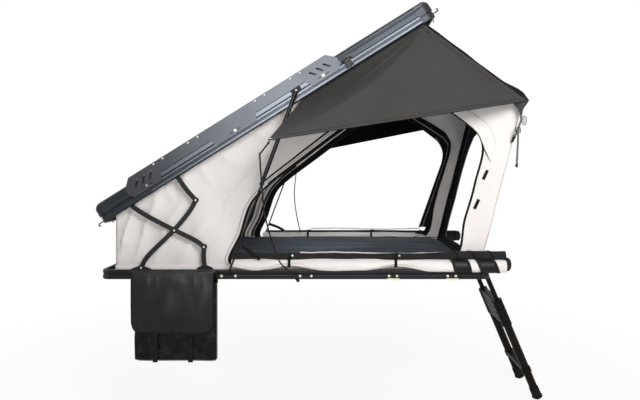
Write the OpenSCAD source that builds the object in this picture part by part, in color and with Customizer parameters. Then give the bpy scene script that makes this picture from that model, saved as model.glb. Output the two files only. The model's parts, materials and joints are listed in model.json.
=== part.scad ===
// Wedge-opening hard-shell roof top tent, shown open.
// Frame: +X towards the ladder end, -Y the near side, +Z up.
// The origin is the middle of the base's underside, where the roof bars clamp.

/* [Base tray] */
// Length of the base
base_l = 2122; // [1960:1:2240]
// Width of the base
base_w = 1340; // [1260:1:1420]
// Height of the base frame
base_h = 52; // [48:1:60]
// Depth of the base rail, from outer face to inner face
base_t = 20; // [17:1:24]
// Plan radius of the base corners
base_corner_r = 44; // [42:1:60]
// Height of the groove between the rail's two lobes
base_groove = 4; // [2:0.5:6]
// Wall of the rail's hollow chambers
base_wall = 3; // [2:0.5:4]
// Width of the ledge that carries the floor
ledge_w = 20; // [14:1:26]
// Thickness of the ledge
ledge_t = 4; // [3:0.5:6]
// Thickness of the floor panel
floor_t = 16; // [12:1:18]
// Height of the roof-bar channels below the floor
channel_h = 8; // [7:0.5:10]
// Width of each roof-bar channel
channel_w = 70; // [50:1:90]
// Length of each roof-bar channel
channel_l = 1800; // [1400:10:1900]
// Distance between the two channels
channel_gap = 840; // [600:10:1000]
// Distance between the roof bars' bolts along a channel
bar_bolt_gap = 900; // [600:10:1200]
// Radius of a roof-bar bolt hole
bar_bolt_r = 4.25; // [3.25:0.25:5.25]

/* [Lid] */
// Length of the lid
lid_l = 2148; // [2000:1:2260]
// How far the lid's side stands out past the base's
lid_over = 5; // [3:0.5:7]
// Height of the lid's side
lid_h = 110; // [104:1:124]
// Depth of the lid rail, from outer face to inner face
lid_t = 22; // [19:1:26]
// Radius of the rail's rounded top
lid_round_r = 36; // [30:1:38]
// Height of the lower flange
lid_flange_h = 34; // [28:1:36]
// Step from the rail's face in to the lower flange
lid_flange_step = 4; // [2:0.5:6]
// Height of the dark groove above the flange
lid_groove = 6; // [4:0.5:8]
// Thickness of the rail's top lip
lid_lip_t = 12; // [8:1:14]
// Width of the top lip past the rounded edge
lid_lip_w = 10; // [6:1:11]
// Wall of the rail's chamber
lid_wall = 3; // [2:0.5:4]
// Plan radius of the lid corners
lid_corner_r = 48; // [48:1:60]
// Thickness of the roof panel
roof_t = 6; // [4:0.5:8]
// Opening angle
lid_angle = 32; // [30:0.5:34]
// Height of the open lid's rear lower edge
lid_rise = 298; // [290:1:310]
// How far the open lid's rear edge lies ahead of the base's rear edge
lid_open_ahead = 7; // [0:1:14]
// How far the shut lid's rear edge hangs behind the base's rear edge
lid_shut_behind = 5; // [0:1:10]
// Gap under the shut lid
lid_seat = 1; // [0.5:0.5:2]

/* [Lift linkage] */
// Thickness of a linkage plate
plate_t = 5; // [4:0.5:5.5]
// Running gap between linkage plates
plate_gap = 0.4; // [0.3:0.1:0.6]
// Width of an arm
arm_w = 25; // [20:1:30]
// Outer radius of a pivot eye
eye_r = 16; // [15:0.5:18]
// Radius of a pivot pin
pin_r = 6; // [5:0.5:7]
// Radial clearance round a pin
pin_play = 0.1; // [0.1:0.05:0.2]
// Distance of the rear foot pivot ahead of the base's rear edge
foot_ahead = 214; // [205:1:225]
// Height of the foot pivots above the base frame
foot_rise = 6; // [4:1:10]
// Distance of arm B's lid pivot from the lid's rear edge
arm_b_u = 170; // [160:1:180]
// Height of the lid pivots above the lid's lower edge
lid_pivot_n = 55; // [50:1:60]
// Arm A from foot to crossing
arm_low = 272; // [262:1:282]
// Arm A from crossing to top
arm_a_top = 204; // [195:1:212]
// Arm B from crossing to its free end
arm_b_top = 185; // [178:1:195]
// Slope of arm A when folded
arm_tilt = 4; // [3:0.5:5]
// Bend of arm A at the crossing
bend_a = 6; // [3:0.5:8]
// Bend of arm B at the crossing
bend_b = 3; // [1:0.5:5]
// Sideways bow of the arms' knees
knee = 20; // [10:1:26]

/* [Gas struts] */
// Radius of the strut's tube
strut_r = 11; // [9:0.5:12]
// Radius of the strut's rod
rod_r = 5; // [4:0.5:6]
// Length of the tube
strut_tube_l = 540; // [520:1:550]
// Rod left inside the tube when the strut is out
rod_in_tube = 39.8; // [30:0.2:42]
// Strut axis outside the lid's face
strut_out = 19; // [17:0.5:24]
// Strut foot ahead of the base's rear edge
strut_foot_ahead = 696; // [686:1:706]
// Height of the strut foot
strut_foot_z = 22; // [18:1:28]
// Lid stud behind the rack plate's front lobe
strut_behind = 68; // [60:1:76]
// Lid stud above the lid's lower edge
strut_n = 52; // [48:1:60]
// Radius of the studs
stud_r = 4; // [3:0.5:5]

/* [Rack plates] */
// Thickness of a rack plate
rack_t = 5; // [3:0.5:6]
// Where a rack plate starts, from the lid's rear edge
rack_start = 213; // [190:1:240]
// Length of a rack plate
rack_l = 1348; // [1300:1:1400]
// How far the plate stands above the lid
rack_above = 26; // [20:1:34]
// How far the plate's waist hangs below the lid's top
rack_waist = 39; // [34:1:46]
// How far the plate's lobes hang below the lid's top
rack_lobe = 82; // [76:1:86]
// Width of an end lobe
rack_end_w = 212; // [190:1:230]
// Width of the middle lobe
rack_mid_w = 245; // [220:1:270]
// Width of the slanted cut-outs
rack_slot_w = 11; // [8:0.5:14]

/* [Front fly spreaders] */
// Radius of a spreader arm
spread_r = 8; // [6:0.5:9]
// Length of a spreader arm
spread_l = 665; // [640:1:670]
// How far the fly's corner lies past a spreader arm
fly_over = 62; // [50:1:70]
// Angle of an open spreader below the lid
spread_angle = 68; // [67:0.5:71]
// Turn of a spreader as the lid shuts
spread_turn = 114; // [113:0.5:115]
// Spreader hinge from the lid's front edge
spread_behind = 94; // [90:1:100]
// Spreader hinge above the lid's lower edge
spread_n = 16; // [14:1:20]
// Distance of the spreaders from the base's outer face
spread_in = 45; // [44:1:50]

/* [Fabric] */
// Thickness of the fabric walls
cloth_t = 3; // [2:0.5:4]
// Distance of the side walls from the base's outer face
wall_in = 78; // [76:1:90]
// Depth of the soft folds in the walls
fold = 5; // [2:0.5:6]
// Rear wall ahead of the base's rear edge
rear_wall_ahead = 76; // [70:1:90]
// Reach of the side awnings out from the base
awning_out = 600; // [560:1:640]
// Mattress height
mattress_h = 60; // [40:1:64]
// Crown of the mattress
mattress_crown = 5; // [3:0.5:8]
// Gap between the mattress and the walls
mattress_gap = 14; // [10:1:24]
// Radius of a rolled-down door
roll_r = 33; // [28:1:34]
// Radius of the rolled-down insect screen
screen_r = 21; // [16:1:23]
// Radius of the far side's thinner screen roll
screen_far_r = 9; // [7:0.5:12]
// Radius of an awning pole
pole_r = 3.5; // [2.5:0.5:5]
// Clearance under and beside soft pieces
soft_gap = 0.3; // [0.2:0.1:0.6]

/* [Ladder] */
// Distance between the ladder's rails
ladder_w = 346; // [320:1:420]
// Lean of the ladder from upright
ladder_lean = 22.8; // [15:0.2:28]
// Radius of the thinnest tube
tube_r = 15; // [14:0.5:16]
// Wall of a ladder tube
tube_wall = 1.6; // [1.2:0.1:1.7]
// Radial clearance between nested tubes
tube_play = 0.4; // [0.3:0.05:0.5]
// Length of a nested tube
tube_l = 400; // [380:1:420]
// Length of the top tube that shows
ladder_top_l = 278; // [260:1:300]
// Height of a collar
collar_h = 35.4; // [30:0.2:40]
// Radius of a collar
collar_r = 29; // [28:0.5:31]
// Running gap between stacked collars
collar_gap = 0.4; // [0.3:0.1:0.8]
// Length of the bottom tubes
ladder_foot_l = 434; // [424:1:470]
// Bottom tread, measured up from the bottom tubes' ends
ladder_low_tread = 148; // [120:1:170]
// Depth of a tread
tread_d = 46; // [40:1:54]
// Length of a rubber foot
rubber_l = 68; // [60:1:80]

/* [Shoe bag] */
// Width of the bag
bag_w = 452; // [400:1:460]
// Left edge of the bag ahead of the base's rear edge
bag_ahead = 188; // [170:1:200]
// Depth of the bag below the base's underside
bag_drop = 434; // [400:1:480]
// Thickness of the bag
bag_t = 46; // [36:1:60]
// Depth of the flap below the base's underside
flap_drop = 289; // [260:1:320]
// Thickness of the flap
flap_t = 4; // [3:0.5:6]
// Corner radius of the flap
flap_r = 50; // [30:1:60]

/* [Small fittings] */
// Thickness of the side brackets
bracket_t = 4; // [3:0.5:5]
// Length of a side bracket
bracket_l = 96; // [84:1:110]
// Height of a side bracket
bracket_h = 18; // [14:1:20]
// Lid latch ahead of the rack plate
latch_ahead = 39; // [36:1:50]
// Width of a latch
latch_w = 60; // [50:1:70]
// Radius of a wire hook
hook_r = 2.5; // [2:0.5:3]

/* [Hidden] */
$fn = 48;

// Main heights and faces
floor_z = channel_h;
floor_top = floor_z + floor_t;
base_rear = -base_l / 2;
base_front = base_l / 2;
base_face = -base_w / 2;
lid_w = base_w + 2 * lid_over;
lid_face = -lid_w / 2;
lid_web_n = lid_flange_h + lid_groove;
roof_n = lid_h - lid_lip_t - roof_t;
rib_n = 16;
rib_h = 13;
rib_depth = 1.2;

// Lid placement: open as built, shut for the fold
lid_open_x = base_rear + lid_open_ahead;
lid_open_z = lid_rise;
lid_shut_x = base_rear - lid_shut_behind;
lid_shut_z = base_h + lid_seat;

// Plane geometry in X and Z
function turn(v, a) = [v.x * cos(a) - v.y * sin(a), v.x * sin(a) + v.y * cos(a)];
function heading(v) = atan2(v.y, v.x);
function lid_open_at(p) = [lid_open_x, lid_open_z] + turn(p, lid_angle);
function lid_shut_at(p) = [lid_shut_x, lid_shut_z] + p;
function into_lid(p) = turn(p - [lid_open_x, lid_open_z], -lid_angle);
function circles_meet(c1, r1, c2, r2) =
    let (d = norm(c2 - c1), a = (r1 * r1 - r2 * r2 + d * d) / (2 * d), e = (c2 - c1) / d)
    c1 + a * e + sqrt(r1 * r1 - a * a) * [e.y, -e.x];
function even_point(p, q, level) =
    [(p.x * p.x - q.x * q.x + pow(p.y - level, 2) - pow(q.y - level, 2)) / (2 * (p.x - q.x)), level];
function pole_point(p, q, a) = (p + q) / 2 + turn(q - p, -90) / (2 * tan(a / 2));

// Finite hinge of the lid between open and shut
lid_pole = pole_point([lid_shut_x, lid_shut_z], [lid_open_x, lid_open_z], -lid_angle);

// Lift linkage: both ends of the travel close exactly
foot_z = base_h + foot_rise;
foot_a = [base_rear + foot_ahead, foot_z];
lid_b = [arm_b_u, lid_pivot_n];
cross_shut = foot_a + turn([arm_low, 0], arm_tilt);
arm_b_low = norm(cross_shut - lid_shut_at(lid_b));
cross_open = circles_meet(foot_a, arm_low, lid_open_at(lid_b), arm_b_low);
arm_a_open = heading(cross_open - foot_a);
arm_b_open = heading(cross_open - lid_open_at(lid_b));
arm_b_shut = heading(cross_shut - lid_shut_at(lid_b));
top_a_open = cross_open + turn([arm_a_top, 0], arm_a_open + bend_a);
top_a_shut = cross_shut + turn([arm_a_top, 0], arm_tilt + bend_a);
end_b_open = cross_open + turn([arm_b_top, 0], arm_b_open + bend_b);
end_b_shut = cross_shut + turn([arm_b_top, 0], arm_b_shut + bend_b);
foot_b = even_point(end_b_open, end_b_shut, foot_z);
lid_a = even_point(into_lid(top_a_open), top_a_shut - [lid_shut_x, lid_shut_z], lid_pivot_n);
link_a_open = heading(top_a_open - lid_open_at(lid_a));
link_a_shut = heading(top_a_shut - lid_shut_at(lid_a));
link_b_open = heading(end_b_open - foot_b);
link_b_shut = heading(end_b_shut - foot_b);

// Linkage plates lie side by side, from the rails' inner faces inwards
inner_face = max(base_face + base_t, lid_face + lid_t);
slab_first = inner_face + plate_gap;
function slab(k) = slab_first + k * (plate_t + plate_gap);

// Gas struts
strut_y = lid_face - strut_out;
strut_foot = [base_rear + strut_foot_ahead, strut_foot_z];
strut_u = rack_start + rack_l - rack_end_w - strut_behind;
strut_head = lid_open_at([strut_u, strut_n]);
strut_head_shut = lid_shut_at([strut_u, strut_n]);
strut_open_l = norm(strut_head - strut_foot);
strut_rod_l = strut_open_l - strut_tube_l + rod_in_tube;
strut_open_a = heading(strut_head - strut_foot);
strut_shut_a = heading(strut_head_shut - strut_foot);
strut_eye_t = 14;
strut_eye_r = 9;

// Front fly spreaders
spread_u = lid_l - spread_behind;
spread_y = base_face + spread_in;
spread_pivot = lid_open_at([spread_u, spread_n]);
fly_corner = spread_pivot + turn([spread_l + fly_over, 0], lid_angle - spread_angle);

// Fabric walls
wall_y = base_face + wall_in;
wall_rear_x = base_rear + rear_wall_ahead;
wall_foot_z = floor_top + soft_gap;
wall_top_n = 20;
front_foot = [base_front - 50, wall_foot_z];
front_peak = fly_corner + [-22, -37];
wall_rear_top = [wall_rear_x, lid_open_at([0, wall_top_n]).y + (wall_rear_x - lid_open_x) * tan(lid_angle)];
wall_front_top = lid_open_at([spread_u - 40, wall_top_n]);
fold_pitch = 260;

// Side door outline and the wall outline that surrounds it, point for point
door_outline = [[-364, 72], [-310, 241], [-252, 408], [-150, 515], [40, 658], [230, 800], [438, 946],
    [600, 1015], [745, 978], [863, 910], [968, 850], [1034, 720], [990, 520], [935, 320], [883, 150],
    [600, 72], [240, 72], [-100, 72]];
wall_outline = [[wall_rear_x, wall_foot_z], [wall_rear_x, (wall_foot_z + wall_rear_top.y) / 2], wall_rear_top,
    mix(wall_rear_top, wall_front_top, 0.25), mix(wall_rear_top, wall_front_top, 0.45),
    mix(wall_rear_top, wall_front_top, 0.62), mix(wall_rear_top, wall_front_top, 0.8), wall_front_top,
    mix(wall_front_top, front_peak, 0.4), mix(wall_front_top, front_peak, 0.75), front_peak,
    mix(front_peak, front_foot, 0.22), mix(front_peak, front_foot, 0.45), mix(front_peak, front_foot, 0.7),
    front_foot, [600, wall_foot_z], [240, wall_foot_z], [-100, wall_foot_z]];

// Awning corners: seam on the lid's lower edge, free outer corner, front corner by the spreader
awning_seam_u = strut_u + 2;
awning_corner_ahead = 986;
awning_corner_z = 727;
awning_y = lid_face + 13;
awning_corner = [base_rear + awning_corner_ahead, base_face - awning_out, awning_corner_z];
awning_front = [fly_corner.x - 4, base_face + 17, fly_corner.y - 2];

// Awning pole route, round numbers along the bent spring rod
pole_ahead = 1074;
pole_foot = [base_rear + pole_ahead, base_face - 12, -8];
pole_route = [pole_foot, pole_foot + [-43, -43, 63], pole_foot + [-96, -98, 136], pole_foot + [-144, -238, 360],
    pole_foot + [-145, -358, 511], pole_foot + [-136, -508, 675],
    awning_corner + [4, 14, -pole_r - 2]];

// Ladder
ladder_at = [base_front + 61, base_h - 22];
ladder_y = ladder_w / 2;
tube_step = tube_wall + tube_play;
section_count = 6;
function section_r(k) = tube_r + (k - 1) * tube_step;
function section_top(k) = k == 1 ? 0 : ladder_top_l + (k - 2) * collar_h;
ladder_end = section_top(section_count) + collar_h + ladder_foot_l;

// Small helpers
function mix(a, b, t) = a + (b - a) * t;
function unit(v) = v / norm(v);
function soften(p) = concat([p[0]],
    [for (i = [0 : len(p) - 2], t = [0.25, 0.75]) mix(p[i], p[i + 1], t)], [p[len(p) - 1]]);
function tangent(p, i) = unit(p[min(i + 1, len(p) - 1)] - p[max(i - 1, 0)]);
function ribbon(p, w) = concat(
    [for (i = [0 : len(p) - 1]) p[i] + turn(tangent(p, i), 90) * w / 2],
    [for (i = [len(p) - 1 : -1 : 0]) p[i] - turn(tangent(p, i), 90) * w / 2]);

module far_side(far) {
    if (far) mirror([0, 1, 0]) children();
    else children();
}

module both_sides() {
    children();
    mirror([0, 1, 0]) children();
}

module in_lid() {
    translate([lid_open_x, 0, lid_open_z]) rotate([0, -lid_angle, 0]) children();
}

module in_spread() {
    in_lid() translate([spread_u, 0, spread_n]) rotate([0, spread_angle, 0]) children();
}

module in_ladder() {
    translate([ladder_at.x, 0, ladder_at.y]) rotate([0, 90 - ladder_lean, 0]) children();
}

// Plate standing in the XZ plane, from face y inwards
module upright(y, t) {
    translate([0, y + t, 0]) rotate([90, 0, 0]) linear_extrude(t) children();
}

// Round bar along Y, from face y inwards
module cross_pin(at, y, t, r) {
    translate([at.x, y, at.y]) rotate([-90, 0, 0]) cylinder(h = t, r = r);
}

module rounded_square(w, h, r) {
    translate([r, 0]) square([w - 2 * r, h]);
    translate([0, r]) square([w, h - 2 * r]);
    for (x = [r, w - r], y = [r, h - r]) translate([x, y]) circle(r);
}

module rounded_plate(x0, x1, half_w, r, t) {
    translate([x0, -half_w, 0]) linear_extrude(t) rounded_square(x1 - x0, 2 * half_w, r);
}

module slot(l, w) {
    square([l - w, w], center = true);
    for (x = [-1, 1]) translate([x * (l - w) / 2, 0]) circle(w / 2);
}

// Frame made of one profile: two sides, two ends and four turned corners
module frame_side(x0, l, w, corner) {
    translate([x0 + corner, -w / 2, 0]) rotate([90, 0, 90]) linear_extrude(l - 2 * corner) children();
}

module frame_ends(x0, l, w, corner) {
    for (end = [0, 1])
        translate([x0 + end * l, 0, 0]) mirror([end, 0, 0]) translate([0, w / 2 - corner, 0])
            rotate([90, 0, 0]) linear_extrude(w - 2 * corner) children();
}

module frame_corners(x0, l, w, corner) {
    for (end = [0, 1], side = [0, 1])
        translate([x0 + end * l, 0, 0]) mirror([end, 0, 0]) mirror([0, side, 0])
            translate([corner, corner - w / 2, 0]) rotate([0, 0, 180]) rotate_extrude(angle = 90)
                translate([corner, 0]) mirror([1, 0]) children();
}

// Closed sheet with a front and a back layer; a ring of cloth when closed is true
module sheet(rows, back, closed = false) {
    cols = len(rows[0]);
    count = len(rows) * cols;
    last = closed ? cols - 1 : cols - 2;
    points = concat([for (row = rows, p = row) p], [for (row = rows, p = row) p + back]);
    function at(j, i) = j * cols + i % cols;
    quads = concat(
        [for (j = [0 : len(rows) - 2], i = [0 : last]) [at(j, i), at(j, i + 1), at(j + 1, i + 1), at(j + 1, i)]],
        [for (j = [0 : len(rows) - 2], i = [0 : last])
            [count + at(j + 1, i), count + at(j + 1, i + 1), count + at(j, i + 1), count + at(j, i)]],
        [for (i = [0 : last]) [at(0, i + 1), at(0, i), count + at(0, i), count + at(0, i + 1)]],
        [for (i = [0 : last]) let (j = len(rows) - 1) [at(j, i), at(j, i + 1), count + at(j, i + 1), count + at(j, i)]],
        closed ? [] : [for (j = [0 : len(rows) - 2]) [at(j, 0), at(j + 1, 0), count + at(j + 1, 0), count + at(j, 0)]],
        closed ? [] : [for (j = [0 : len(rows) - 2])
            let (i = cols - 1) [at(j + 1, i), at(j, i), count + at(j, i), count + at(j + 1, i)]]);
    faces_back = cross(rows[0][1] - rows[0][0], rows[1][0] - rows[0][0]) * back > 0;
    polyhedron(points, [for (q = quads, half = [[0, 1, 2], [0, 2, 3]])
        faces_back ? [q[half[0]], q[half[1]], q[half[2]]] : [q[half[2]], q[half[1]], q[half[0]]]]);
}

// Closed solid through rings of equal count; ring points turn left about the way the rings run
module loft(rings) {
    n = len(rings[0]);
    top = (len(rings) - 1) * n;
    polyhedron([for (ring = rings, p = ring) p], concat(
        [for (k = [0 : len(rings) - 2], i = [0 : n - 1], half = [0, 1])
            let (a = k * n + i, b = k * n + (i + 1) % n)
            half == 0 ? [a, a + n, b + n] : [a, b + n, b]],
        [[for (i = [0 : n - 1]) i]],
        [[for (i = [n - 1 : -1 : 0]) top + i]]));
}

// Round rings along a route of points
function ring_at(p, t, r, sides) =
    let (side = unit(cross([0, 0.3, 1], t)), up = cross(t, side))
    [for (i = [0 : sides - 1]) p + r * (cos(360 * i / sides) * side + sin(360 * i / sides) * up)];
function rope(route, r, sides) = [for (i = [0 : len(route) - 1]) ring_at(route[i], tangent(route, i), r, sides)];

// Base tray
module base_profile() {
    lobe_low = base_h / 2;
    difference() {
        union() {
            rounded_square(base_t, lobe_low - base_groove / 2, 5);
            translate([0, lobe_low + base_groove / 2])
                rounded_square(base_t, base_h - lobe_low - base_groove / 2, 6);
            translate([base_groove, 6]) square([base_t - base_groove, base_h - 12]);
            translate([base_t / 2, floor_z - ledge_t]) square([base_t / 2 + ledge_w, ledge_t]);
        }
        translate([base_groove + base_wall, floor_z])
            square([base_t - base_groove - 2 * base_wall, lobe_low - floor_z - base_wall]);
        translate([base_groove + base_wall, lobe_low + base_wall])
            square([base_t - base_groove - 2 * base_wall, base_h - lobe_low - 3 * base_wall]);
    }
}

module base_rail(far) {
    color("#26272a") far_side(far) frame_side(base_rear, base_l, base_w, base_corner_r) base_profile();
}

module base_end_rails() {
    color("#26272a") frame_ends(base_rear, base_l, base_w, base_corner_r) base_profile();
}

module base_corners() {
    color("#1f2022") frame_corners(base_rear, base_l, base_w, base_corner_r) base_profile();
}

module floor_panel() {
    edge = base_t + soft_gap;
    color("#8d8f92") translate([0, 0, floor_z])
        rounded_plate(base_rear + edge, base_front - edge, base_w / 2 - edge, base_corner_r - edge, floor_t);
}

module mounting_channels() {
    lip = 12;
    color("#a9abad") for (side = [-1, 1]) difference() {
        translate([-channel_l / 2, side * channel_gap / 2 - channel_w / 2, 0]) cube([channel_l, channel_w, channel_h]);
        translate([-channel_l / 2 - 1, side * channel_gap / 2 - channel_w / 2 + lip, channel_h / 2 + 1])
            cube([channel_l + 2, channel_w - 2 * lip, channel_h]);
        for (end = [-1, 1]) translate([end * bar_bolt_gap / 2, side * channel_gap / 2, -1])
            cylinder(h = channel_h + 2, r = bar_bolt_r);
    }
}

// Mattress: rounded outline with drawn-in sides, stacked up to a crown
mattress_rear = wall_rear_x + cloth_t + fold + mattress_gap;
mattress_front = front_foot.x - 4 - mattress_gap;
mattress_half = -wall_y - fold - mattress_gap;
function pad_point(a, half_l, half_w, waist) =
    let (x = half_l * sign(cos(a)) * pow(abs(cos(a)), 0.25), y = half_w * sign(sin(a)) * pow(abs(sin(a)), 0.25))
    [x - sign(x) * waist * (1 - pow(y / half_w, 2)), y - sign(y) * waist * (1 - pow(x / half_l, 2))];
function pad_ring(inset, z, waist) =
    let (half_l = (mattress_front - mattress_rear) / 2 - inset)
    [for (i = [0 : 39]) let (p = pad_point(i * 9 + 4.5, half_l, mattress_half - inset, waist))
        [(mattress_front + mattress_rear) / 2 + p.x, p.y, wall_foot_z + z]];

module mattress() {
    color("#39414c") loft([pad_ring(10, 0, 8), pad_ring(2, mattress_h * 0.2, 10), pad_ring(0, mattress_h * 0.5, 12),
        pad_ring(3, mattress_h * 0.8, 10), pad_ring(14, mattress_h * 0.95, 8), pad_ring(60, mattress_h, 6),
        pad_ring(mattress_half * 0.38, mattress_h + mattress_crown * 0.6, 4), pad_ring(mattress_half * 0.73, mattress_h + mattress_crown, 0)]);
}

// Foot bracket outline round a pivot
module foot_outline(at, low, half_l) {
    polygon([[at.x - half_l, low], [at.x + half_l, low], [at.x + half_l, base_h + 1], [at.x + eye_r, at.y + 10],
        [at.x - eye_r, at.y + 10], [at.x - half_l, base_h + 1]]);
}

module linkage_feet() {
    rail_y = base_face + base_t;
    foot_b_y = slab(4);
    low = floor_top + 2;
    color("#2a2b2d") both_sides() {
        upright(rail_y, slab(0) + plate_t - rail_y) foot_outline(foot_a, low, 55);
        cross_pin(foot_a, slab(0), 2 * plate_t + plate_gap * 1.5, pin_r);
        upright(foot_b_y, plate_t) foot_outline(foot_b, floor_top, 45);
        translate([foot_b.x - 45, foot_b_y, floor_top]) cube([90, plate_t + 14, 3]);
        cross_pin(foot_b, slab(3) - plate_gap / 2, 2 * plate_t + plate_gap, pin_r);
    }
}

// Side brackets on the base's outer face
module side_plate(x, l) {
    upright(base_face - bracket_t, bracket_t) translate([x - l / 2, 5]) rounded_square(l, bracket_h, 3);
}

module strut_feet() {
    color("#2a2b2d") both_sides() {
        side_plate(strut_foot.x, bracket_l);
        cross_pin(strut_foot, base_face - bracket_t - 6, 6, strut_eye_r);
        cross_pin(strut_foot, strut_y - strut_eye_t / 2, base_face - strut_y + strut_eye_t / 2 - bracket_t, stud_r);
    }
}

module pole_sockets() {
    stud_l = base_face - pole_foot.y - pole_r - soft_gap;
    tab_low = pole_foot.z - 6;
    color("#2a2b2d") both_sides() {
        side_plate(pole_foot.x + bracket_l / 2 - 8, bracket_l);
        upright(base_face - bracket_t, bracket_t) translate([pole_foot.x - 8, tab_low]) square([16, 10 - tab_low]);
        cross_pin([pole_foot.x, pole_foot.z], base_face - stud_l, stud_l, stud_r);
    }
}

module side_brackets() {
    plate_l = 66;
    front_behind = 207;
    color("#3a3a3a") both_sides() for (x = [lid_shut_x + latch_u, base_front - front_behind]) {
        side_plate(x, plate_l);
        translate([x - plate_l / 2, base_face - bracket_t, -3]) cube([plate_l, bracket_t + base_t, 3]);
        upright(base_face - bracket_t, bracket_t) translate([x - 20, 0]) square([40, 8]);
    }
}

// Fabric walls
function ripple(x, z) =
    fold * sin(360 * (x + 0.55 * z) / fold_pitch) * (0.35 + 0.65 * pow(sin(180 * min(1, z / 700)), 2));
ring_steps = 3;
ring_rows = 4;
function along(list, k) =
    let (i = floor(k / ring_steps), t = (k % ring_steps) / ring_steps)
    mix(list[i % len(list)], list[(i + 1) % len(list)], t);
function wall_row(t) = [for (k = [0 : len(door_outline) * ring_steps - 1])
    let (p = mix(along(door_outline, k), along(wall_outline, k), t))
    [p.x, wall_y + ripple(p.x, p.y), p.y]];

module side_wall(far) {
    color("#e6e2dc") far_side(far)
        sheet([for (j = [0 : ring_rows]) wall_row(j / ring_rows)], [0, cloth_t, 0], true);
}

module wall_rear() {
    half = -wall_y - fold - cloth_t - 4;
    function rear_row(t) = [for (i = [0 : 20]) let (y = mix(-half, half, i / 20), z = mix(wall_foot_z, wall_rear_top.y, t))
        [wall_rear_x + cloth_t + fold * 0.6 * sin(360 * y / fold_pitch) * sin(180 * t), y, z]];
    color("#e6e2dc") sheet([for (j = [0 : 5]) rear_row(j / 5)], [cloth_t, 0, 0]);
}

// Front wall leans out from the base to the front fly, with the front door cut in it
module wall_front() {
    half = -wall_y - fold - cloth_t - 6;
    top = front_peak + [-4, 0];
    foot = front_foot + [-4, 0];
    outer = [[-half, 0], [-half, 0.35], [-half, 0.7], [-half, 1], [-half / 2, 1], [0, 1], [half / 2, 1], [half, 1],
        [half, 0.7], [half, 0.35], [half, 0], [half / 2, 0], [0, 0], [-half / 2, 0]];
    inner = [[-half + 130, 0.1], [-half + 120, 0.35], [-half + 120, 0.66], [-half + 190, 0.84], [-half / 2, 0.9],
        [0, 0.91], [half / 2, 0.9], [half - 190, 0.84], [half - 120, 0.66], [half - 120, 0.35], [half - 130, 0.1],
        [half / 2, 0.08], [0, 0.08], [-half / 2, 0.08]];
    function place(q) = let (p = mix(foot, top, q.y)) [p.x, q.x, p.y];
    function front_row(t) = [for (k = [0 : len(outer) * ring_steps - 1])
        place(mix(along(inner, k), along(outer, k), t))];
    color("#e6e2dc") sheet([for (j = [0 : 2]) front_row(j / 2)], [-cloth_t, 0, 0], true);
}

// Rolled-down doors on the sill: canvas roll below, insect screen above
roll_rear = strut_foot.x + 12;
roll_front = base_front + 115;
roll_ties = [-37, 545];
function pinch(x) = min([for (tie = roll_ties) min(1, 0.72 + abs(x - tie) / 260)]);
function roll_ring(x, y, z0, r, sides) =
    [for (i = [0 : sides - 1]) [x, y + r * cos(360 * i / sides), z0 + r + r * sin(360 * i / sides)]];

module door_roll(far) {
    roll_y = base_face + roll_r + 1;
    roll_z = base_h + soft_gap;
    screen_z = roll_z + 2 * roll_r + soft_gap;
    color("#ded9d1") far_side(far) {
        loft([for (i = [0 : 22]) let (x = mix(roll_rear, roll_front, i / 22))
            roll_ring(x, roll_y, roll_z, roll_r * pinch(x), 12)]);
        loft([for (i = [0 : 16]) let (x = mix(roll_rear + 40, roll_front - 35, i / 16))
            roll_ring(x, roll_y, screen_z, (far ? screen_far_r : screen_r) * (0.8 + 0.2 * i / 16), 8)]);
    }
}

// Ladder hinge: a plate on the base's front face with a lug pair and pin for each rail
module ladder_hinge() {
    lug_t = 5;
    lug_in = section_r(1) + 1;
    plate_half = ladder_y + lug_in + lug_t + 8;
    color("#2a2b2d") {
        translate([base_front, -plate_half, 8]) cube([bracket_t, 2 * plate_half, base_h - 14]);
        for (rail = [-1, 1], lug = [-1, 1])
            translate([0, rail * ladder_y + lug * (lug_in + lug_t / 2) - lug_t / 2 + lug_t, 0]) rotate([90, 0, 0])
                linear_extrude(lug_t) {
                    translate([base_front + bracket_t / 2, ladder_at.y - 14])
                        square([ladder_at.x - base_front - bracket_t / 2, 28]);
                    translate(ladder_at) circle(15);
                }
        for (rail = [-1, 1])
            cross_pin(ladder_at, rail * ladder_y - lug_in - lug_t - 3, 2 * (lug_in + lug_t + 3), pin_r);
    }
}

// Lid
module lid_profile() {
    r = lid_round_r;
    round_n = lid_h - r;
    difference() {
        union() {
            translate([lid_flange_step, 0]) rounded_square(lid_t - lid_flange_step, lid_flange_h, 4);
            translate([lid_t / 2, 4]) square([lid_t / 2, lid_web_n + 4]);
            translate([0, lid_web_n]) square([lid_t, round_n - lid_web_n]);
            intersection() {
                translate([r, round_n]) circle(r, $fn = 96);
                union() {
                    translate([0, round_n]) square([lid_t, r]);
                    translate([0, lid_h - lid_lip_t]) square([r, lid_lip_t]);
                }
            }
            translate([r, lid_h - lid_lip_t]) square([lid_lip_w, lid_lip_t]);
        }
        translate([lid_wall, lid_web_n + lid_wall]) square([lid_t - 2 * lid_wall, round_n - lid_web_n - lid_wall]);
        translate([-1, lid_h - 24]) square([6, 3]);
        translate([lid_flange_step - 1, rib_n]) square([rib_depth + 1, rib_h]);
    }
}

module lid_rail(far) {
    color("#3b3d41") far_side(far) in_lid() frame_side(0, lid_l, lid_w, lid_corner_r) lid_profile();
}

module lid_end_rails() {
    color("#3b3d41") in_lid() frame_ends(0, lid_l, lid_w, lid_corner_r) lid_profile();
}

module lid_corners() {
    color("#333538") in_lid() frame_corners(0, lid_l, lid_w, lid_corner_r) lid_profile();
}

module roof_panel() {
    edge = lid_t + 2;
    color("#303236") in_lid() translate([0, 0, roof_n])
        rounded_plate(edge, lid_l - edge, lid_w / 2 - edge, lid_corner_r - edge, roof_t);
}

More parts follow.
